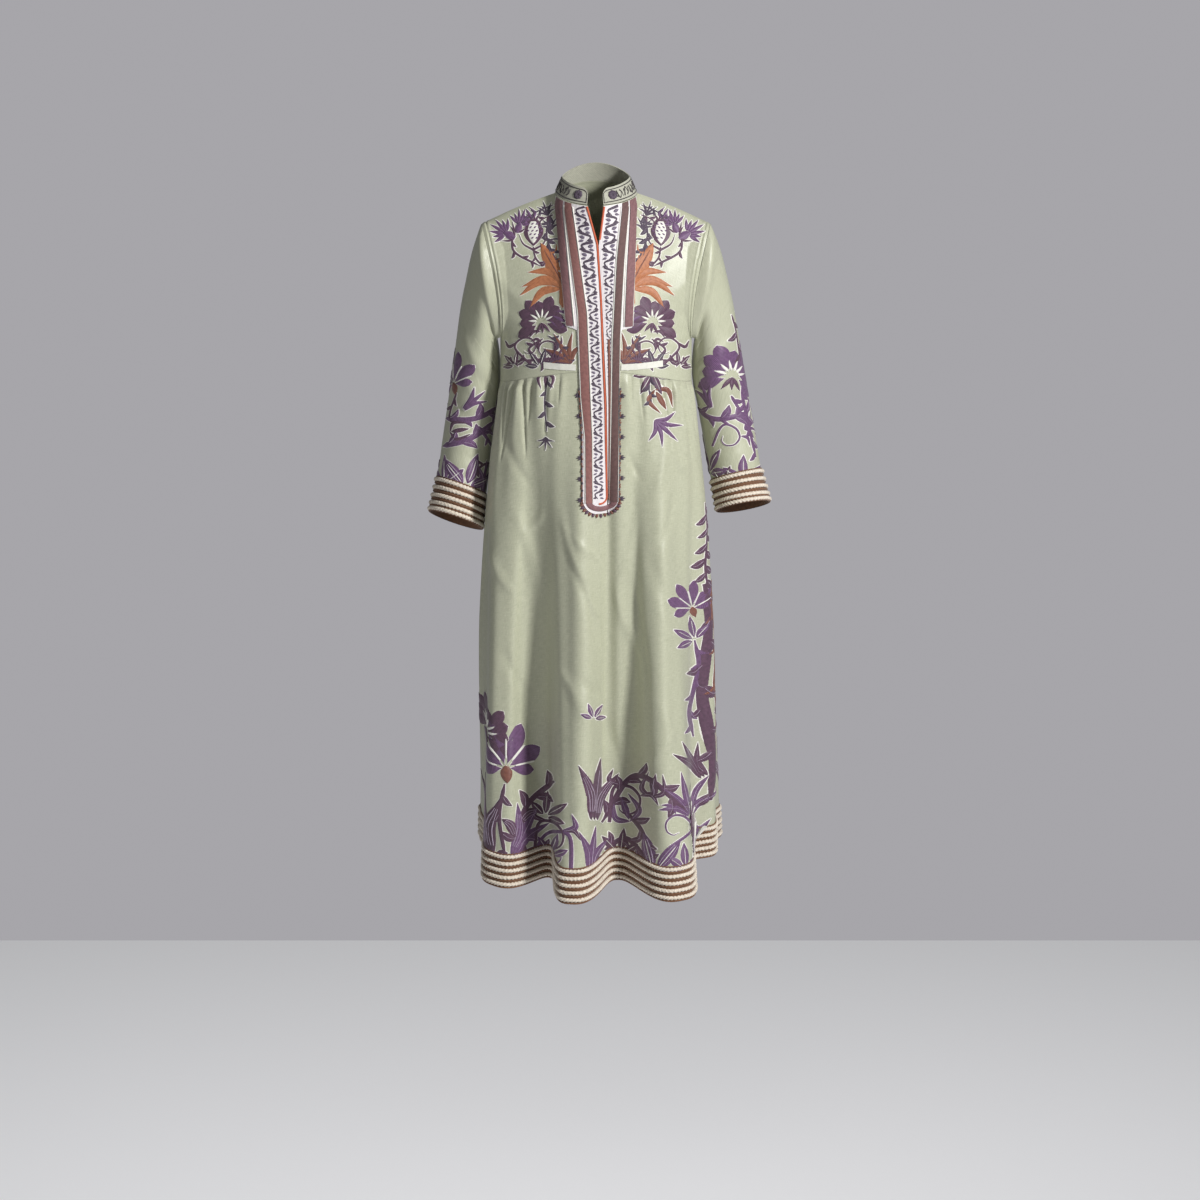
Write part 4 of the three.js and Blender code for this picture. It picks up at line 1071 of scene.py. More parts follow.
def corded_band(name, surface, us, span, top_v, turn, node):
    """A band's brown ground with cream twisted cords between plain brown ones."""
    ground = Cloth(surface, us, np.linspace(top_v, 1.0, 12), turn)
    base = shell(name + "_ground", ground, MATERIALS["brown"], 1.4, 2, lift=0.1)
    pitch = (1.0 - top_v) / BAND_CORDS
    room = ground.down[-1].max() / BAND_CORDS

    def cord(pile, k, sizes, lean=1):
        place, radius, lump, step = sizes
        rope(pile, surface, span, top_v + (k + place) * pitch, turn, room * radius, lump, step, lean)

    cream, brown = Pile(), Pile()
    for k in range(BAND_CORDS):
        cord(cream, k, CREAM_CORD, 1 if k % 2 else -1)
        cord(brown, k, BROWN_CORD)
    cord(brown, 0, EDGE_CORD)
    cords = [
        cream.build(name + "_cream_cords", MATERIALS["cream"]),
        brown.build(name + "_brown_cords", MATERIALS["brown"]),
    ]
    for obj in cords:
        fit(obj)
    fit_sheet(base, ground, "draped", "cords", node, with_pieces=cords)


front_us = np.linspace(-89.92, 89.92, 240 // COARSE)
back_us = np.linspace(90.08, 269.92, 200 // COARSE)
ring_us = np.linspace(180.0, 540.0, 97)
corded_band("hem_front", skirt_surface, front_us, (-89.9, 89.9), BAND_TOP, -1, "hem_band_front")
corded_band("hem_back", skirt_surface, back_us, (90.1, 269.9), BAND_TOP, -1, "hem_band_back")
for name, side in SIDES.items():
    surface = sleeve_surface(name)
    corded_band("cuff_cords_" + name, surface, ring_us, (180, 540), CUFF_TOP, side, "cuff_" + name)

# ---------- pieces laid on the front ----------


def on_front(side, x, z, lift):
    """Points and normals over the front at X and height, on the bodice or on the skirt below it."""
    x, z = np.broadcast_arrays(np.asarray(x, float), np.asarray(z, float))
    waist = skirt_surface(np.degrees(np.arcsin(clamp(x / WAIST_HALF, -0.99, 0.99))), 0 * x)[..., 2]
    upper, lower = fronts[side], skirt_front
    point_a, normal_a = upper.place(*upper.locate(x, np.maximum(z, waist)), 0 * x)
    point_b, normal_b = lower.place(*lower.locate(x, np.minimum(z, waist)), 0 * x)
    share = smooth(waist - z, -14, 14)
    normal = unit(between(normal_a, normal_b, share))
    return choose(z >= waist, point_a, point_b) + normal * np.asarray(lift, float)[..., None], normal


def laid_shell(name, side, heights, edges, columns, lift, material, node, slot_name, crown=0.0):
    """A thin tape laid on the front; one that starts at the neck follows the neck seam there."""
    z = np.asarray(heights, float)[:, None]
    across = np.linspace(0, 1, columns)[None, :]
    low, high = edges(np.asarray(heights, float))
    x = lerp(low[:, None], high[:, None], across)
    z = z + 0 * x
    if heights[0] > -30:
        seam = -NECK_DIP * (1 - clamp(np.abs(x) / NECK_HALF) ** 2) - 1.2
        down = (z - heights[0]) / (heights[-1] - heights[0])
        z = z + (seam - heights[0]) * (1 - down) ** 8
        lift = lift * smooth(seam - z, -4, 16)
    points, normals = on_front(side, x, z, lift + BRAID + 0 * x)
    cloth = Cloth.of_points(points + normals * (crown * np.sin(np.pi * across))[..., None], -1)
    obj = shell(name, cloth, MATERIALS[material], BRAID, 2)
    fit_sheet(obj, cloth, "laid", slot_name, node)
    return cloth


def inset_at(z, foot, radius):
    into = clamp((foot + radius - z) / radius)
    return radius * (1 - np.sqrt(1 - into * into))


def placket_edges(name, side):
    def edges(z):
        lap = at_height(LAP_EDGE, z)
        if side > 0:
            lap = np.where(z < SLIT_FOOT_Z, lap + SEAM_GAP + 1, at_height(LEFT_SLIT_EDGE, z) + SEAM_GAP + 1)
        else:
            lap = lap - 1
        outer = at_height(PLACKET_EDGE[name], z) - side * inset_at(z, PLACKET_FOOT_Z, 30)
        outer = np.minimum(outer, lap - 3) if side < 0 else np.maximum(outer, lap + 3)
        return (outer, lap) if side < 0 else (lap, outer)

    return edges


RIBBON_LOOK = {
    "ribbon_right_outer": "ribbon",
    "ribbon_right_inner": "ribbon_rust",
    "ribbon_left_inner": "ribbon_dark",
    "ribbon_left_outer": "ribbon",
}
placket_cloths = {}
for name, side in SIDES.items():
    heights = np.linspace(-8, PLACKET_FOOT_Z + 1, 190)
    placket_cloths[name] = laid_shell(
        "placket_cloth_" + name, side, heights, placket_edges(name, side), 14, LAID_GAP,
        "ground", "placket_" + name, "placket_ground",
    )
for name, table in RIBBONS.items():
    heights = np.linspace(-8, table[-1][0], 130)
    laid_shell(
        name + "_braid", -1 if "right" in name else 1, heights,
        lambda z, t=table: (at_height(t, z, 1), at_height(t, z, 2)), 9, OVER_PLACKET,
        RIBBON_LOOK[name], name, "ribbon", 0.6,
    )

# The right piping follows the lap down to a bend at its foot, the left one the slit's left edge.
PIPING_RADIUS, PIPING_ASIDE, PIPING_SUNK = 1.9, 1.6, 1.2
PIPING_FOOT_Z, BEND_TURN, BEND_WIDTH, BEND_DEPTH = -530, 100, 12, 13


def piping_path(side):
    if side > 0:
        z = np.linspace(-8, SLIT_FOOT_Z + 8, 40)
        return at_height(LEFT_SLIT_EDGE, z) + side * PIPING_ASIDE, z
    z = np.linspace(-8, PIPING_FOOT_Z, 200)
    x = at_height(LAP_EDGE, z) + side * PIPING_ASIDE
    bend = np.radians(np.linspace(0, BEND_TURN, 24)[1:])
    x = np.concatenate([x, x[-1] - BEND_WIDTH * (1 - np.cos(bend))])
    return x, np.concatenate([z, z[-1] - BEND_DEPTH * np.sin(bend)])


for name, side in SIDES.items():
    x, z = piping_path(side)
    points, normals = on_front(side, x, z, OVER_PLACKET - PIPING_SUNK + 0 * z)
    aside = unit(np.cross(unit(np.gradient(points, axis=0)), normals))
    turns = np.radians(np.linspace(0, 360, 11)[:-1])[None, :]
    out = normals[:, None] * np.cos(turns)[..., None] + aside[:, None] * np.sin(turns)[..., None]
    uvs = np.stack(np.broadcast_arrays(run_lengths(points)[:, None] * MM, turns * 2 * MM), -1)
    pile = Pile()
    pile.grid(points[:, None] + out * PIPING_RADIUS, uvs, wrap=True)
    fit(pile.build("piping_cord_" + name, MATERIALS["piping"]), "piping_" + name)
for name, (low, high) in WAIST_TABS.items():
    heights = np.linspace(WAIST_FRONT_Z + TAB_DROP, WAIST_FRONT_Z + 2, 8)
    laid_shell(
        "waist_tab_tape_" + name, SIDES[name], heights,
        lambda z, a=low, b=high: (a + 0 * z, b + 0 * z), 30, TAB_GAP,
        "tab", "waist_tab_" + name, "tab",
    )

# ---------- rosettes ----------

ROSETTE_ANGLES = {"right": COLLAR_RIGHT_END + 360 - 16, "left": COLLAR_LEFT_END + 16}
ROSETTE_V, ROSETTE_RADIUS, ROSETTE_PETALS = 0.52, 8.5, 8
for name, angle in ROSETTE_ANGLES.items():
    here = collar_surface(np.array([angle]), np.array([ROSETTE_V]))[0]
    du = collar_surface(np.array([angle + 0.3]), np.array([ROSETTE_V]))[0] - here
    dv = collar_surface(np.array([angle]), np.array([ROSETTE_V + 0.04]))[0] - here
    normal, right = unit(np.cross(du, dv)), unit(du)
    up = unit(np.cross(normal, right))
    turns = np.radians(np.linspace(0, 360, 49)[:-1])[None, :]
    rings = np.linspace(0.02, 1, 14)[:, None]
    petals = 0.35 * np.cos(ROSETTE_PETALS * turns) * np.sin(np.pi * rings)
    radius = ROSETTE_RADIUS * rings * (1 + 0.05 * np.cos(ROSETTE_PETALS * turns) * rings)
    height = 0.5 + 2.2 * (1 - rings**4) + petals - 1.1 * np.exp(-((rings / 0.22) ** 2))
    points = here + right * (radius * np.cos(turns))[..., None] + up * (radius * np.sin(turns))[..., None]
    points = points + normal * height[..., None]
    uvs = np.stack(np.broadcast_arrays(turns * 8 * MM, rings * 8 * MM), -1)
    pile = Pile()
    pile.grid(points, uvs, flip=True, wrap=True)
    fit(pile.build("rosette_thread_" + name, MATERIALS["ink"]), "rosette_" + name)

# ---------- embroidery ----------

ELEVATION = math.radians(15)
SEEN_FRONT = (math.sin(ELEVATION), math.cos(ELEVATION))
SEEN_BACK = (-math.sin(ELEVATION), math.cos(ELEVATION))


def curve(points, count):
    """A smooth line through a few points."""
    p = np.asarray(points, float)
    if len(p) == 2:
        return between(p[0], p[1], np.linspace(0, 1, count))
    p = np.concatenate([[2 * p[0] - p[1]], p, [2 * p[-1] - p[-2]]])
    place = np.linspace(0, len(p) - 3, count)
    k = np.minimum(place.astype(int), len(p) - 4)
    t = (place - k)[:, None]
    a, b, c, d = p[k], p[k + 1], p[k + 2], p[k + 3]
    return 0.5 * (2 * b + (c - a) * t + (2 * a - 5 * b + 4 * c - d) * t**2 + (3 * b - a - 3 * c + d) * t**3)


# half widths along a blade, from 0 at its root to 1 at its tip
PROFILES = {
    "leaf": lambda t: np.sin(np.pi * t**0.85) ** 0.8,
    "petal": lambda t: np.sin(np.pi * np.minimum(t**1.5, 0.999)) ** 0.7,
    "stem": lambda t: clamp(np.minimum(t, 1 - t) * 9, 0.25, 1) ** 0.6,
    "band": lambda t: 1 + 0 * t,
    "taper": lambda t: clamp(1 - t, 0.02, 1) ** 0.6,
    "bud": lambda t: np.sin(np.pi * np.minimum(0.12 + 0.88 * t, 0.999)) ** 0.75,
}


# Leaves of these threads have one vein from this width on, and three from the second one.
VEINED, VEIN_FROM, VEINS_FROM = ("purple", "plum"), 11, 20
EDGE_HEIGHT, OVER_EDGE, VEIN_HEIGHT = 0.45, 0.35, 0.85


class Embroidery:
    """Raised satin stitch. Shapes are given in millimetres across and up, as seen from one side."""

    def __init__(self, name, cloth, plane=SEEN_FRONT, mirror=1, shift=(0, 0)):
        self.name, self.cloth, self.plane, self.mirror, self.shift = name, cloth, plane, mirror, shift
        self.shapes = []

    def blade(self, points, width, thread="purple", kind="leaf", height=0.9, outline=1.3):
        """A leaf, petal or stem along a line, on an off-white edge."""
        points = [(self.mirror * x + self.shift[0], h + self.shift[1]) for x, h in points]
        span = np.abs(np.diff(np.asarray(points), axis=0)).sum()
        line = curve(points, int(clamp(span / 3.0, 7, 60)))
        along = unit(np.gradient(line, axis=0))
        aside = np.stack([-along[:, 1], along[:, 0]], -1)
        t = np.linspace(0, 1, len(line))
        half = PROFILES[kind](t) * width / 2
        length = run_lengths(line)
        q = np.array([-1, -0.6, 0, 0.6, 1])
        if outline:
            ends = along * (np.where(t < 0.5, -1, 1) * outline * np.abs(2 * t - 1) ** 3)[:, None]
            self.add("white", line + ends, aside, half + outline, q, length, EDGE_HEIGHT)
        self.add(thread, line, aside, half, q, length, height + OVER_EDGE)
        if kind == "leaf" and thread in VEINED and width > VEIN_FROM:
            run = slice(len(line) // 6, -(len(line) // 5) or None)
            wide = (0.7 + 0.03 * width) * PROFILES["stem"](t[run])
            q, lift = np.array([-1, 0, 1]), height + VEIN_HEIGHT
            for place in (-0.42, 0, 0.42) if width > VEINS_FROM else (0,):
                rib = line + aside * (half * place)[:, None]
                self.add("lilac", rib[run], aside[run], wide, q, length[run], lift)

    def add(self, thread, line, aside, half, q, length, height):
        flat = line[:, None] + aside[:, None] * (half[:, None] * q)[..., None]
        lift = height * np.sqrt(clamp(1 - q**2, 0, 1)) - 0.25 * (np.abs(q) > 0.99) + 0 * half[:, None]
        uv = np.stack(np.broadcast_arrays(length[:, None] * MM, (half[:, None] + 3) * q * MM), -1)
        self.shapes.append((thread, flat, lift, uv))

    def build(self):
        flat = np.concatenate([shape[1].reshape(-1, 2) for shape in self.shapes])
        lift = np.concatenate([shape[2].ravel() for shape in self.shapes])
        row, column = self.find(flat)
        points, normals = self.cloth.place(row, column, lift)
        piles, start = {}, 0
        for thread, shape, _, uv in self.shapes:
            rows, columns = shape.shape[:2]
            got = points[start : start + rows * columns].reshape(rows, columns, 3)
            middle = start + rows // 2 * columns + 1
            facing = np.cross(*(points[middle + step] - points[middle] for step in (1, columns)))
            start += rows * columns
            piles.setdefault(thread, Pile()).grid(got, uv, flip=facing @ normals[middle] < 0)
        for thread, pile in piles.items():
            fit(pile.build(f"{self.name}_{thread}", MATERIALS[thread], 80))

    def find(self, flat):
        """Rows and columns of the shapes' points, kept on the cloth at its seams."""
        row, column = self.cloth.locate(flat[:, 0], flat[:, 1], self.plane)
        return clamp(row, 0.1, self.cloth.shape[0] - 1.1), clamp(column, 0.1, self.cloth.shape[1] - 1.1)


# Past this X, a millimetre across the view is SIDE_RATE of cloth, and more over the next SIDE_REACH.
SIDE_FROM, SIDE_RATE, SIDE_CURVE, SIDE_REACH = 186, 1.8, 0.008, 34


class SkirtWork(Embroidery):
    """Shapes that go on round the skirt's side by the cloth's own length, past SIDE_FROM."""

    def find(self, flat):
        cloth = self.cloth
        inner = clamp(flat[:, 0], -SIDE_FROM, SIDE_FROM)
        row, column = cloth.locate(inner, flat[:, 1], self.plane)
        beyond = flat[:, 0] - inner
        away = np.abs(beyond)
        quarter = cloth.shape[1] // 4
        way = np.sign(beyond * (cloth.points[0, -quarter, 0] - cloth.points[0, quarter, 0]))
        step = way * (SIDE_RATE * away + SIDE_CURVE * np.minimum(away, SIDE_REACH) ** 2)
        return row, cloth.along_row(row, column, step)


# radians round the sleeve for half its width in the view, and the most degrees
SLEEVE_WRAP, SLEEVE_TURN_MOST = 1.2, 100


class SleeveWork(Embroidery):
    """Shapes that go evenly round the sleeve, so none is drawn out at its outer or inner side."""

    def find(self, flat):
        cloth = self.cloth
        heights = seen_height(cloth.points, self.plane)
        x, h = flat[:, 0], flat[:, 1]
        outer, inner = (
            np.interp(-h, -heights[:, c], cloth.points[:, c, 0]) for c in (cloth.shape[1] // 2, 0)
        )
        turn = np.degrees(SLEEVE_WRAP * (2 * x - outer - inner) / (outer - inner))
        turn = clamp(turn, -SLEEVE_TURN_MOST, SLEEVE_TURN_MOST)
        angle = 450 - turn if self.plane[0] > 0 else 270 + turn
        column = (angle - 180) / 360 * (cloth.shape[1] - 1)
        low = clamp(np.floor(column), 0, cloth.shape[1] - 2).astype(int)
        row = np.empty(h.shape)
        for c in np.unique(low):
            mask = low == c
            ends = (np.interp(-h[mask], -heights[:, k], np.arange(cloth.shape[0])) for k in (c, c + 1))
            row[mask] = lerp(*ends, column[mask] - c)
        return row, column


class Motif:
    """Draws one figure in units of its own size: rooted at (0, 0) and growing up to about (0, 1)."""

    def __init__(self, work, x, h, size, turn, flip=1):
        self.work, self.x, self.h, self.size, self.flip = work, x, h, size, flip
        self.cos, self.sin = math.cos(math.radians(turn)), math.sin(math.radians(turn))

    def blade(self, points, width, thread, kind="leaf", **more):
        placed = [
            (self.x + self.size * (self.flip * a * self.cos + b * self.sin),
             self.h + self.size * (b * self.cos - self.flip * a * self.sin))
            for a, b in points
        ]
        self.work.blade(placed, width * self.size, thread, kind, **more)


    def ray(self, angle, near, far, root, width, thread, kind="leaf", twist=0, **more):
        """A blade that points away from (0, root), at an angle from straight up."""
        ends = [polar(angle, near, 0, root), polar(angle + twist, far, 0, root)]
        self.blade(ends, width, thread, kind, **more)


def polar(angle, radius, x=0.0, y=0.0):
    """A point at an angle from straight up."""
    return x + radius * math.sin(math.radians(angle)), y + radius * math.cos(math.radians(angle))


def peony(m, thread):
    """An open flower of long petals over a pale heart, on a short calyx."""
    for k in range(9):
        far = 0.56 + 0.08 * math.cos(2.4 * k)
        m.ray(-116 + 29 * k, 0.13, far, 0.42, 0.29, thread, "petal", twist=3, outline=0.7)
    for k in range(6):
        m.ray(-75 + 30 * k, 0.1, 0.3, 0.42, 0.06, "white", height=1.7, outline=0)
    for lean in (-0.16, 0, 0.16):
        m.blade([(0, 0.4), (lean, 0.16)], 0.08, "plum", height=1.5, outline=0.5)


def pansy(m, thread):
    """A flower seen from the side: broad petals that open upward from a small cup."""
    # angle, reach, width
    petals = [
        (-92, 0.5, 0.24), (-52, 0.66, 0.3), (-14, 0.72, 0.28),
        (24, 0.7, 0.28), (64, 0.6, 0.28), (100, 0.42, 0.2),
    ]
    for angle, far, wide in petals:
        m.ray(angle, 0.06, far, 0.26, wide, thread, "petal", outline=0.7)
    for angle in (-70, -33, 5, 44, 82):
        m.ray(angle, 0.14, 0.44, 0.26, 0.035, "white", "stem", height=1.6, outline=0)
    m.blade([(0, 0.3), (0, 0.02)], 0.2, "umber", height=1.4, outline=0.5)


def thistle(m, thread):
    """A pointed tuft of spikes out of an oval cup."""
    m.blade([(0, 0), (0, 0.46)], 0.32, thread, "bud", height=1.2)
    for k in range(7):
        angle = -63 + 21 * k
        far = 0.62 - 0.0018 * abs(angle) * (1 + k % 2)
        m.blade([polar(angle, 0.1, 0, 0.3), polar(angle * 1.08, far, 0, 0.36)], 0.15, thread)
    for lean in (-1, 1):
        m.blade([(0, 0.02), (lean * 0.16, 0.12), (lean * 0.3, 0.36)], 0.1, "plum")


def netted_bud(m, thread):
    """A large bud with a net of pale threads, in a cup of two leaves."""
    m.blade([(0, 0.98), (0.0, 0.5), (0, 0.02)], 0.78, "plum", "bud", height=1.0)
    m.blade([(0, 0.9), (0.0, 0.5), (0, 0.1)], 0.6, "white", "bud", height=1.25, outline=0)
    for row in range(5):
        for place in range(4):
            a = -0.23 + 0.155 * place - 0.07 * (row % 2)
            b = 0.28 + 0.125 * row
            if (a / 0.3) ** 2 + ((b - 0.52) / 0.4) ** 2 < 0.82:
                m.blade([(a, b), (a + 0.1, b + 0.07)], 0.085, thread, height=1.7, outline=0)
    for side in (-1, 1):
        m.blade([(0, -0.12), (side * 0.36, 0.1), (side * 0.52, 0.46)], 0.11, "plum", "taper")


def lobed_leaf(m, thread):
    """A leaf of long curved lobes along a bent rib, which ends in a broad one."""
    rib = curve([(0, 0), (0.06, 0.3), (-0.04, 0.62), (-0.14, 0.96)], 9)
    m.blade([(0.0, 0), (0.06, 0.3), (-0.02, 0.56)], 0.15, thread, "stem", height=1.3, outline=0.8)
    m.blade([(0, 0.5), (-0.05, 0.74), (-0.13, 1.02)], 0.24, thread, height=1.3, outline=0.8)
    for k in range(4):
        x, y = rib[3 + k // 2]
        y = y - 0.06 * k
        far = 0.66 - 0.07 * abs(k - 1.5)
        angle = -58 - 17 * k
        lobe = [(x, y), polar(angle + 24, far * 0.5, x, y), polar(angle, far, x, y)]
        m.blade(lobe, 0.13, thread, outline=0.8)
    for x, y in rib[3:8]:
        hook = [(x + 0.02, y), (x + 0.16, y + 0.02), (x + 0.2, y + 0.12)]
        m.blade(hook, 0.07, thread, "taper", outline=0.6)
    m.blade([(0.03, 0.12), (0.05, 0.4), (-0.1, 0.9)], 0.03, "umber", "stem", height=1.9, outline=0)


def scroll(m, thread):
    """A stem that curls round into itself, with two leaves on its outer side."""
    line = [(0, 0)] + [polar(-60 + 52 * k, 0.42 - 0.045 * k, 0.2, 0.5) for k in range(7)]
    m.blade(line, 0.1, thread, "taper", height=1.1)
    for leaf in (((-30, 0.4), (-55, 0.62), (-40, 0.8)), ((40, 0.36), (50, 0.58), (72, 0.7))):
        m.blade([polar(angle, far, 0.2, 0.5) for angle, far in leaf], 0.14, thread)


def spray(m, thread):
    """Five narrow leaves that spread from one point."""
    for angle, far in ((-62, 0.72), (-30, 0.92), (2, 1.0), (34, 0.9), (66, 0.7)):
        m.blade([(0, 0), polar(angle * 0.7, far * 0.5), polar(angle, far)], 0.17, thread)


def leaf_fan(m, thread):
    """Four broad leaves round a short stalk."""
    for angle, far in ((-74, 0.8), (-24, 0.98), (28, 1.0), (78, 0.78)):
        m.ray(angle, 0.12, far, 0, 0.34, thread, height=1.1)
        m.ray(angle, 0.2, far * 0.8, 0, 0.03, "white", "stem", height=1.7, outline=0)


def tulip(m, thread):
    """A cup of two curved outer petals round a middle one."""
    for side in (-1, 1):
        m.blade([(0, 0.02), (side * 0.42, 0.3), (side * 0.26, 0.95)], 0.24, thread)
    m.blade([(0, 0.1), (0, 0.92)], 0.26, thread, height=1.2)


def leaves(m, thread):
    """Three long upright leaves from one root."""
    for lean, far, wide in ((-0.32, 0.86, 0.2), (0.02, 1.0, 0.17), (0.34, 0.78, 0.18)):
        m.blade([(lean * 0.15, 0), (lean * 0.25, far * 0.5), (lean, far)], wide, thread, height=1.1)


def buds(m, thread):
    """A low row of three round buds."""
    for k in (-1, 0, 1):
        m.blade([(k * 0.62 - 0.24, 0.1), (k * 0.62 + 0.24, 0.14 - 0.06 * k)], 0.36, thread, "bud")


# a figure's name in the layouts is its function's, with spaces
DRAWN = (peony, pansy, thistle, netted_bud, lobed_leaf, scroll, spray, leaf_fan, tulip, leaves, buds)
FIGURES = {draw.__name__.replace("_", " "): draw for draw in DRAWN}


def joined_skirt():
    """The whole skirt as one grid, from the back's middle round by the front."""
    front, back = skirt_front.points, skirt_back.points
    half = back.shape[1] // 2
    return Cloth.of_points(np.concatenate([back[:, half:], front, back[:, : half + 1]], axis=1), -1)


def back_skirt():
    """The back with the side parts of the front, for shapes that are seen from behind."""
    front, back = skirt_front.points, skirt_back.points
    quarter = front.shape[1] // 4
    return Cloth.of_points(np.concatenate([front[:, -quarter:], back, front[:, :quarter]], axis=1), -1)


def wave(start, end, swing, turns):
    """Points down a line that sways evenly to both sides."""
    steps = int(turns * 4) + 1
    along = np.linspace(0, 1, steps)
    points = between(np.array(start, float), np.array(end, float), along)
    points[:, 0] += swing * np.sin(2 * np.pi * turns * along)
    return [tuple(point) for point in points]


def vine(work, path, width, thread, leaf, spacing, seed):
    """A stem along a path with leaves to both sides, uneven in length and lean."""
    rng = np.random.default_rng(seed)
    work.blade(path, width, thread, "stem")
    line = curve(path, 60)
    length = run_lengths(line)
    for k, place in enumerate(np.arange(spacing * 0.6, length[-1], spacing)):
        at, ahead = (
            np.array([np.interp(place + step, length, line[:, axis]) for axis in (0, 1)]) for step in (0, 3)
        )
        side = 1 if k % 2 else -1
        way = math.degrees(math.atan2(*(ahead - at))) + (48 + rng.uniform(-10, 14)) * side
        far = leaf * rng.uniform(0.8, 1.15)
        middle = polar(way - 14 * side, far * 0.55, *at)
        work.blade([tuple(at), middle, polar(way, far, *at)], far * 0.5, thread)


def embroider(
    name, cloth, figures, vines, plane=SEEN_FRONT, mirror=1, shift=(0, 0), stems=(), kind=Embroidery
):
    work = kind(name, cloth, plane, mirror, shift)
    for figure, x, h, size, turn, flip, thread in figures:
        FIGURES[figure](Motif(work, x, h, size, turn, flip), thread)
    for k, (start, bend, end, width, thread, leaf, spacing) in enumerate(vines):
        vine(work, [start, bend, end], width, thread, leaf, spacing, k)
    for k, (start, end, swing, turns, width, thread, leaf, spacing) in enumerate(stems):
        vine(work, wave(start, end, swing, turns), width, thread, leaf, spacing, k)
    work.build()


# The layouts are drawn up by kind and rough place, as seen from the front.
# Figures: name, x, height, size, turn (clockwise from upright), flip, thread.
# Vines: start, bend, end, stem's width, thread, leaves' length, space between leaves.
# Stems: start, end, swing, turns, width, thread, leaves' length, space between leaves.
BODICE_FIGURES = [
    ("thistle", -142, -70, 46, 20, 1, "purple"),
    ("thistle", -145, -80, 52, -60, 1, "purple"),
    ("netted bud", -112, -95, 50, 0, 1, "purple"),
    ("lobed leaf", -58, -205, 120, -12, 1, "rust"),
    ("peony", -92, -262, 78, -10, 1, "plum"),
    ("scroll", -118, -305, 54, -30, 1, "plum"),
    ("scroll", -84, -305, 46, 10, -1, "plum"),
    ("leaf fan", -100, -310, 34, -10, 1, "ink"),
    ("spray", -44, -305, 62, -32, 1, "umber"),
    ("spray", -70, -305, 40, -10, 1, "plum"),
    ("tulip", -50, -232, 34, -65, 1, "purple"),
    ("leaf fan", -145, -308, 28, -20, 1, "plum"),
    ("spray", -86, -40, 28, -20, 1, "ink"),
    ("spray", -105, -54, 28, -50, 1, "plum"),
    ("spray", -80, -66, 28, -10, 1, "ink"),
    ("tulip", -114, -46, 24, -30, 1, "purple"),
    ("scroll", -78, -120, 44, 0, 1, "ink"),
]
BODICE_VINES = [
    ((-76, -20), (-105, -32), (-135, -54), 3.4, "ink", 11, 9),
    ((-76, -38), (-95, -46), (-114, -64), 3.2, "plum", 12, 10),
    ((-80, -35), (-88, -75), (-70, -125), 4.0, "ink", 18, 10),
    ((-150, -75), (-145, -105), (-100, -130), 5.0, "plum", 14, 18),
    ((-112, -95), (-108, -115), (-95, -130), 4.2, "plum", 12, 12),
    ((-95, -260), (-120, -280), (-95, -305), 5.2, "plum", 16, 12),
    ((-85, -255), (-66, -270), (-45, -305), 4.4, "ink", 16, 12),
    ((-165, -305), (-120, -298), (-45, -305), 4.4, "plum", 13, 11),
]
WAIST_FIGURES = [
    ("spray", -90, -435, 24, 180, 1, "ink"),
    ("tulip", -90, -320, 32, 180, 1, "plum"),
    ("leaf fan", 100, -320, 44, 180, 1, "plum"),
    ("tulip", 105, -350, 46, 150, 1, "umber"),
    ("spray", 105, -405, 56, 130, 1, "purple"),
]
WAIST_VINES = [
    ((-85, -325), (-92, -370), (-88, -425), 3.6, "ink", 17, 18),
    ((100, -320), (95, -350), (100, -375), 3.6, "ink", 19, 13),
]
LEFT_SLEEVE_FIGURES = [
    ("peony", 240, -365, 96, 5, 1, "purple"),
    ("leaves", 212, -382, 52, -25, 1, "purple"),
    ("leaf fan", 198, -500, 52, 5, 1, "purple"),
    ("leaf fan", 262, -515, 50, 25, 1, "purple"),
    ("scroll", 212, -450, 56, 40, 1, "purple"),
    ("spray", 264, -420, 40, 60, 1, "purple"),
    ("leaf fan", 232, -520, 36, -10, 1, "plum"),
]
LEFT_SLEEVE_VINES = [
    ((175, -380), (220, -402), (275, -390), 11.0, "purple", 26, 22),
    ((242, -360), (256, -382), (262, -400), 7.0, "purple", 18, 14),
    ((262, -340), (272, -400), (288, -470), 9.5, "purple", 24, 22),
    ((245, -215), (255, -250), (262, -300), 5.0, "plum", 24, 20),
]
RIGHT_SLEEVE_FIGURES = [
    ("pansy", -252, -360, 84, -15, 1, "purple"),
    ("leaves", -238, -385, 48, 45, 1, "purple"),
    ("leaf fan", -235, -525, 64, -10, 1, "purple"),
    ("leaf fan", -270, -520, 54, -30, 1, "purple"),
    ("leaves", -204, -535, 60, 5, 1, "purple"),
    ("tulip", -262, -425, 36, 80, 1, "plum"),
]
RIGHT_SLEEVE_VINES = [
    ((-276, -400), (-225, -402), (-176, -380), 11.0, "purple", 26, 22),
    ((-278, -450), (-235, -440), (-182, -405), 12.0, "purple", 26, 22),
    ((-215, -415), (-200, -435), (-185, -450), 8.0, "purple", 18, 16),
    ((-250, -355), (-262, -380), (-266, -400), 6.0, "plum", 18, 16),
    ((-182, -480), (-205, -484), (-225, -500), 6.0, "plum", 17, 14),
]
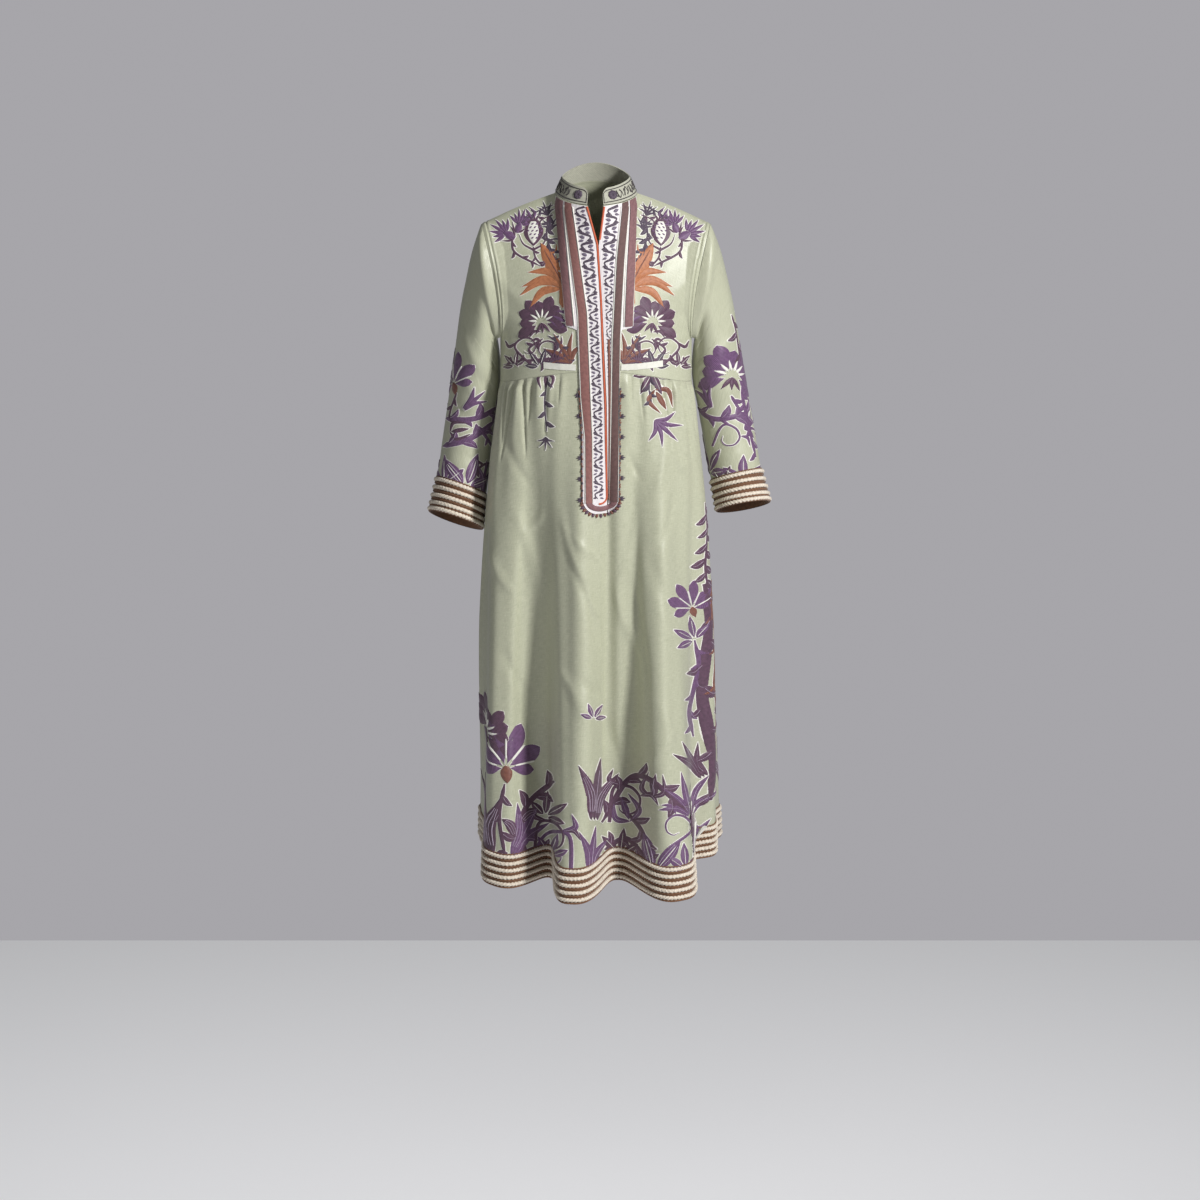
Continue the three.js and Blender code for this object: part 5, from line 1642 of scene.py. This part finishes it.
HEM_FIGURES = [
    ("pansy", -160, -1062, 120, -5, 1, "purple"),
    ("peony", -212, -1010, 92, 10, 1, "plum"),
    ("leaves", -192, -1190, 130, -12, 1, "plum"),
    ("leaves", -150, -1190, 104, 25, 1, "purple"),
    ("scroll", -112, -1192, 80, 20, 1, "plum"),
    ("buds", -170, -1192, 44, 0, 1, "plum"),
    ("leaf fan", -92, -1120, 48, 30, 1, "plum"),
    ("leaf fan", -82, -1192, 44, -10, 1, "purple"),
    ("scroll", -45, -1225, 96, -15, -1, "purple"),
    ("leaves", -10, -1220, 84, 5, 1, "purple"),
    ("leaves", -4, -1125, 112, 5, 1, "plum"),
    ("leaf fan", -5, -942, 30, 5, 1, "purple"),
    ("scroll", 24, -1130, 84, 20, 1, "plum"),
    ("leaf fan", 44, -1190, 50, -20, 1, "plum"),
    ("tulip", 62, -1130, 54, -20, 1, "purple"),
    ("leaf fan", 105, -1222, 78, 10, 1, "purple"),
    ("spray", 172, -1120, 84, -15, 1, "purple"),
    ("scroll", 132, -1175, 70, 40, -1, "purple"),
    ("leaf fan", 162, -1215, 50, 20, 1, "purple"),
    ("tulip", 100, -1085, 48, 10, 1, "plum"),
]
HEM_VINES = [
    ((-165, -1060), (-175, -1120), (-165, -1190), 9.0, "plum", 30, 34),
    ((-150, -1175), (-125, -1100), (-75, -1055), 12.0, "plum", 38, 28),
    ((-145, -1195), (-110, -1178), (-75, -1185), 10.0, "plum", 24, 18),
    ((10, -1130), (75, -1045), (178, -1120), 12.0, "plum", 34, 24),
    ((15, -1180), (55, -1160), (90, -1195), 11.0, "plum", 28, 20),
    ((60, -1115), (85, -1150), (100, -1205), 10.0, "plum", 28, 22),
]
SIDE_FIGURES = [
    ("pansy", 180, -760, 72, -20, 1, "purple"),
    ("leaf fan", 178, -800, 44, -40, 1, "purple"),
    ("leaves", 192, -1050, 76, -30, 1, "plum"),
]
SIDE_STEMS = [
    ((193, -700), (198, -1095), 7, 1.5, 18.0, "plum", 34, 40),
    ((208, -700), (212, -1000), -5, 2, 8.5, "umber", 20, 34),
    ((178, -800), (176, -975), 8, 1, 10.0, "purple", 22, 28),
    ((198, -556), (197, -706), 3, 1, 5.0, "plum", 26, 13),
]
SLEEVE_LAYOUTS = {
    "left": (LEFT_SLEEVE_FIGURES, LEFT_SLEEVE_VINES),
    "right": (RIGHT_SLEEVE_FIGURES, RIGHT_SLEEVE_VINES),
}
for name, side in SIDES.items():
    embroider(
        "bodice_embroidery_" + name, fronts[side], BODICE_FIGURES, BODICE_VINES,
        mirror=-side, shift=(2 * side + 2, 0),
    )
    figures, vines = SLEEVE_LAYOUTS[name]
    sleeve, back_name = sleeves[name], "sleeve_back_embroidery_" + name
    embroider("sleeve_embroidery_" + name, sleeve, figures, vines, kind=SleeveWork)
    embroider(back_name, sleeve, figures, vines[:3], SEEN_BACK, kind=SleeveWork)
embroider("waist_embroidery", skirt_front, WAIST_FIGURES, WAIST_VINES)
embroider(
    "hem_embroidery_front", joined_skirt(), HEM_FIGURES + SIDE_FIGURES, HEM_VINES,
    stems=SIDE_STEMS, kind=SkirtWork,
)
embroider(
    "hem_embroidery_back", back_skirt(), HEM_FIGURES, HEM_VINES, SEEN_BACK, -1, (0, 20), kind=SkirtWork
)

# ---------- vines, cords and beads on the placket ----------

FLAT_FRONT = (0.0, 1.0)


def ground_edges(side, z):
    """The white ground between the slit or lap and the inner ribbon."""
    lap = at_height(LAP_EDGE, z)
    if side < 0:
        return at_height(RIBBONS["ribbon_right_inner"], z, 2) + 2.5, lap - 5.0
    slit = np.where(z > SLIT_FOOT_Z, at_height(LEFT_SLIT_EDGE, z), lap)
    return slit + 5.0, at_height(RIBBONS["ribbon_left_inner"], z, 1) - 2.0


def placket_vine(work, side, top, foot, pitch):
    """Curled leaves that change sides down a narrow band, on a winding stem."""
    for k in range(int((top - foot) / pitch)):
        z = top - (k + 0.5) * pitch
        low, high = ground_edges(side, z)
        middle, half = (low + high) / 2, (high - low) / 2
        if half < 1.5:
            continue
        way = half if k % 2 else -half
        # across in half widths, down in pitches
        for line, width, thread, kind in (
            (((-0.7, 0.62), (0.62, 0.2), (0.1, -0.4)), 0.42, "ink", "taper"),
            (((-0.1, 0.0), (-0.8, 0.22)), 0.5, "slate", "leaf"),
            (((0.25, -0.2), (0.95, -0.3)), 0.46, "ink", "leaf"),
            (((-0.25, -0.25), (-0.9, -0.42)), 0.36, "slate", "leaf"),
        ):
            path = [(middle + way * a, z + pitch * b) for a, b in line]
            work.blade(path, half * width, thread, kind, height=0.8, outline=0)


for name, side in SIDES.items():
    work = Embroidery("placket_vine_" + name, placket_cloths[name], FLAT_FRONT)
    placket_vine(work, side, -10, -548 if side < 0 else -330, 15.0)
    if side > 0:
        z = np.linspace(-240, -538, 60)
        low, high = ground_edges(side, z)
        work.blade(np.stack([(low + high) / 2, z], -1), 5.0, "umber", "band", height=1.2, outline=0)
    for ribbon, table in RIBBONS.items():
        if name not in ribbon:
            continue
        z = np.linspace(-10, table[-1][0], 50)
        for column, out in ((1, -1.6), (2, 1.6)):
            line = np.stack([at_height(table, z, column) + out, z], -1)
            work.blade(line, 2.4, "white", "stem", height=1.5, outline=0)
    work.build()

CHAIN_TOP_Z, CHAIN_FOOT_Z, BEAD_STEP, PICOT_STEP = -332, -540, 4.4, 38
FOOT_X, FOOT_HALF, FOOT_DROP = 8.5, 31, 22
# how far the tip of a picot's leaf lies above the picot's middle, and out from the edge
PICOT_LEAVES = [(-3.5, 7), (0, 9.5), (3.5, 6.5)]
work = Embroidery("placket_picots", skirt_front, FLAT_FRONT)
for name, side in SIDES.items():
    table = PLACKET_EDGE[name]
    for k, z in enumerate(np.arange(CHAIN_TOP_Z, CHAIN_FOOT_Z, -BEAD_STEP)):
        x = at_height(table, z) + side * (1.2 + 0.7 * math.sin(1.9 * k))
        thread = "umber" if k % 3 else "ink"
        work.blade([(x, z + 2.3), (x, z - 2.3)], 4.2, thread, "bud", height=3.4, outline=0)
    for z in np.arange(CHAIN_TOP_Z - 12, CHAIN_FOOT_Z, -PICOT_STEP):
        x = at_height(table, z) + side * 2
        for lean, far in PICOT_LEAVES:
            work.blade([(x, z + lean * 0.5), (x + side * far, z + lean)], 3.2, "ink", height=1.6, outline=0)
for k in range(15):
    x, z = polar(-84 + 12 * k, 1.0)
    near = (FOOT_X + FOOT_HALF * x, CHAIN_FOOT_Z - FOOT_DROP * z)
    far = (FOOT_X + (FOOT_HALF + 7) * x, CHAIN_FOOT_Z - (FOOT_DROP + 7) * z)
    work.blade([near, far], 6.4, "plum" if k % 2 else "umber", "bud", height=3.0, outline=0)
work.build()

# the braid's round foot, which joins the two inner ribbons: its middle, and its inner and outer edge
BRAID_FOOT_X, BRAID_FOOT_Z = 9.8, -539
BRAID_FOOT_HALVES, BRAID_FOOT_DROPS = (17.6, 28.6), (8.5, 18.0)
turns = np.radians(np.linspace(-90, 90, 41))[:, None]
across = np.linspace(0, 1, 7)[None, :]
foot_x = BRAID_FOOT_X + lerp(*BRAID_FOOT_HALVES, across) * np.sin(turns)
foot_z = BRAID_FOOT_Z - lerp(*BRAID_FOOT_DROPS, across) * np.cos(turns)
turned_down = 1.6 * (np.abs(2 * across - 1) > 0.99)
lift = OVER_PLACKET + BRAID + 0.5 * np.sin(np.pi * across) - turned_down + 0 * foot_x
foot_points, _ = skirt_front.place(*skirt_front.locate(foot_x, foot_z), lift)
pile = Pile()
pile.grid(foot_points, np.stack(np.broadcast_arrays(foot_x, foot_z), -1) * MM, flip=True)
fit(pile.build("braid_foot", MATERIALS["ribbon"]))

# ---------- the collar's edging and scrolls ----------

COLLAR_UNIT, COLLAR_ROW = 28.0, 8


class CollarWork(Embroidery):
    """Shapes in millimetres along the collar from its wearer's left end and up from its seam."""

    def find(self, flat):
        columns = np.interp(flat[:, 0], collar.across[COLLAR_ROW], np.arange(collar.shape[1]))
        return clamp(flat[:, 1] / COLLAR_UNIT) * (collar.shape[0] - 1), columns


work = CollarWork("collar_edging", collar)
collar_length = collar.across[COLLAR_ROW, -1]
low, high, inset = 0.14 * COLLAR_UNIT, 0.86 * COLLAR_UNIT, 4.6
stops = np.linspace(inset, collar_length - inset, 5)
for level in (low, high):
    for start, end in zip(stops[:-1], stops[1:]):
        work.blade([(a, level) for a in np.linspace(start, end, 40)], 1.9, "black", "band", outline=0)
for end in (inset, collar_length - inset):
    bar = [(end, low - 0.6), (end, COLLAR_UNIT / 2), (end, high + 0.6)]
    work.blade(bar, 1.9, "black", "band", outline=0)
for k in range(int((collar_length - 60) / 17)):
    a, way = 38 + 17 * k, 1 if k % 2 else -1
    middle = COLLAR_UNIT / 2
    # along, up, to along, up, ... and the width
    for line, width in (
        (((-7, -6), (-1, 7), (4, -3)), 3.0),
        (((0, -6), (5, -1), (6, 6)), 2.6),
        (((-5, 5), (-8, 1)), 3.0),
    ):
        work.blade([(a + b, middle + c * way) for b, c in line], width, "black", "taper", outline=0)
work.build()

# ---------- stage, light and camera ----------


def plane(name, corners, material):
    mesh = bpy.data.meshes.new(name)
    mesh.from_pydata(corners, [], [(0, 1, 2, 3)])
    mesh.materials.append(material)
    obj = bpy.data.objects.new(name, mesh)
    bpy.context.scene.collection.objects.link(obj)
    return obj


def plain(name, color, glow=0.0):
    """A matt surface, or one that shines evenly in its own colour."""
    n = Nodes(name)
    n.put(n.shader, "Base Color", (*color, 1))
    n.put(n.shader, "Roughness", 0.9)
    n.put(n.shader, "Emission Color", (*color, 1))
    n.put(n.shader, "Emission Strength", glow)
    return n.material


# The floor ends in a level line behind the dress. The wall shows above that line, and stands
# so far back that a camera behind the dress is in front of it.
FLOOR_Z, FLOOR_BACK_Y, FLOOR_HALF = -1.707, 1.03, 9
WALL_Y, WALL_HALF, WALL_LOW_Z, WALL_HIGH_Z = 25, 7, -14, -1


def rectangle(left, right, low, high):
    return [(left, low), (right, low), (right, high), (left, high)]


floor_ends = rectangle(-FLOOR_HALF, FLOOR_HALF, -FLOOR_HALF, FLOOR_BACK_Y)
floor = plane("floor", [(x, y, FLOOR_Z) for x, y in floor_ends], plain("floor_white", srgb(238, 238, 240)))
wall_ends = rectangle(-WALL_HALF, WALL_HALF, WALL_LOW_Z, WALL_HIGH_Z)
wall = plane("wall", [(x, WALL_Y, z) for x, z in wall_ends], plain("wall_grey", srgb(118, 117, 120), 1.98))


def area_light(name, place, aim, size, power, on_stage=False):
    """A soft rectangular lamp that lights the dress alone, or with on_stage the floor and wall alone."""
    data = bpy.data.lights.new(name, "AREA")
    data.shape = "RECTANGLE"
    data.size, data.size_y = size
    data.energy = power
    light = bpy.data.objects.new(name, data)
    bpy.context.scene.collection.objects.link(light)
    light.location = place
    light.rotation_euler = (Vector(aim) - Vector(place)).to_track_quat("-Z", "Y").to_euler()
    stage = bpy.data.collections.new(name + "_stage")
    for obj in (floor, wall):
        stage.objects.link(obj)
    light.light_linking.receiver_collection = stage
    if on_stage:
        light.light_linking.blocker_collection = stage
    else:
        for item in stage.collection_objects:
            item.light_linking.link_state = "EXCLUDE"


area_light("key", (2.9, -3.1, 1.5), (0, 0, -0.6), (0.7, 0.9), 258)
area_light("fill", (-3.4, -2.8, 0.2), (0, 0, -0.7), (1.4, 2.0), 16)
area_light("top", (0.4, -0.6, 3.0), (0, 0, -0.8), (1.2, 0.9), 12)
area_light("backdrop", (0, -1.9, 2.2), (0, 1.0, -1.6), (3.4, 1.6), 150, on_stage=True)

world = bpy.data.worlds.new("studio")
bpy.context.scene.world = world
world.use_nodes = True
world.node_tree.nodes["Background"].inputs["Color"].default_value = (0.95, 0.96, 1.0, 1)
world.node_tree.nodes["Background"].inputs["Strength"].default_value = 0.13
bpy.context.scene.view_settings.view_transform = "Standard"

SENSOR_MM, LENS_MM, SEEN_TO = 36, 331.5, 100
camera_data = bpy.data.cameras.new("camera")
camera_data.sensor_width = SENSOR_MM
camera_data.lens = LENS_MM
camera_data.clip_end = SEEN_TO
camera = bpy.data.objects.new("camera", camera_data)
bpy.context.scene.collection.objects.link(camera)
AIM = (0.0072, 0.0, -0.7535)
DISTANCE = 20.0
back_off, rise = DISTANCE * math.cos(ELEVATION), DISTANCE * math.sin(ELEVATION)
camera.location = (AIM[0], AIM[1] - back_off, AIM[2] + rise)
camera.rotation_euler = (math.pi / 2 - ELEVATION, 0, 0)
bpy.context.scene.camera = camera
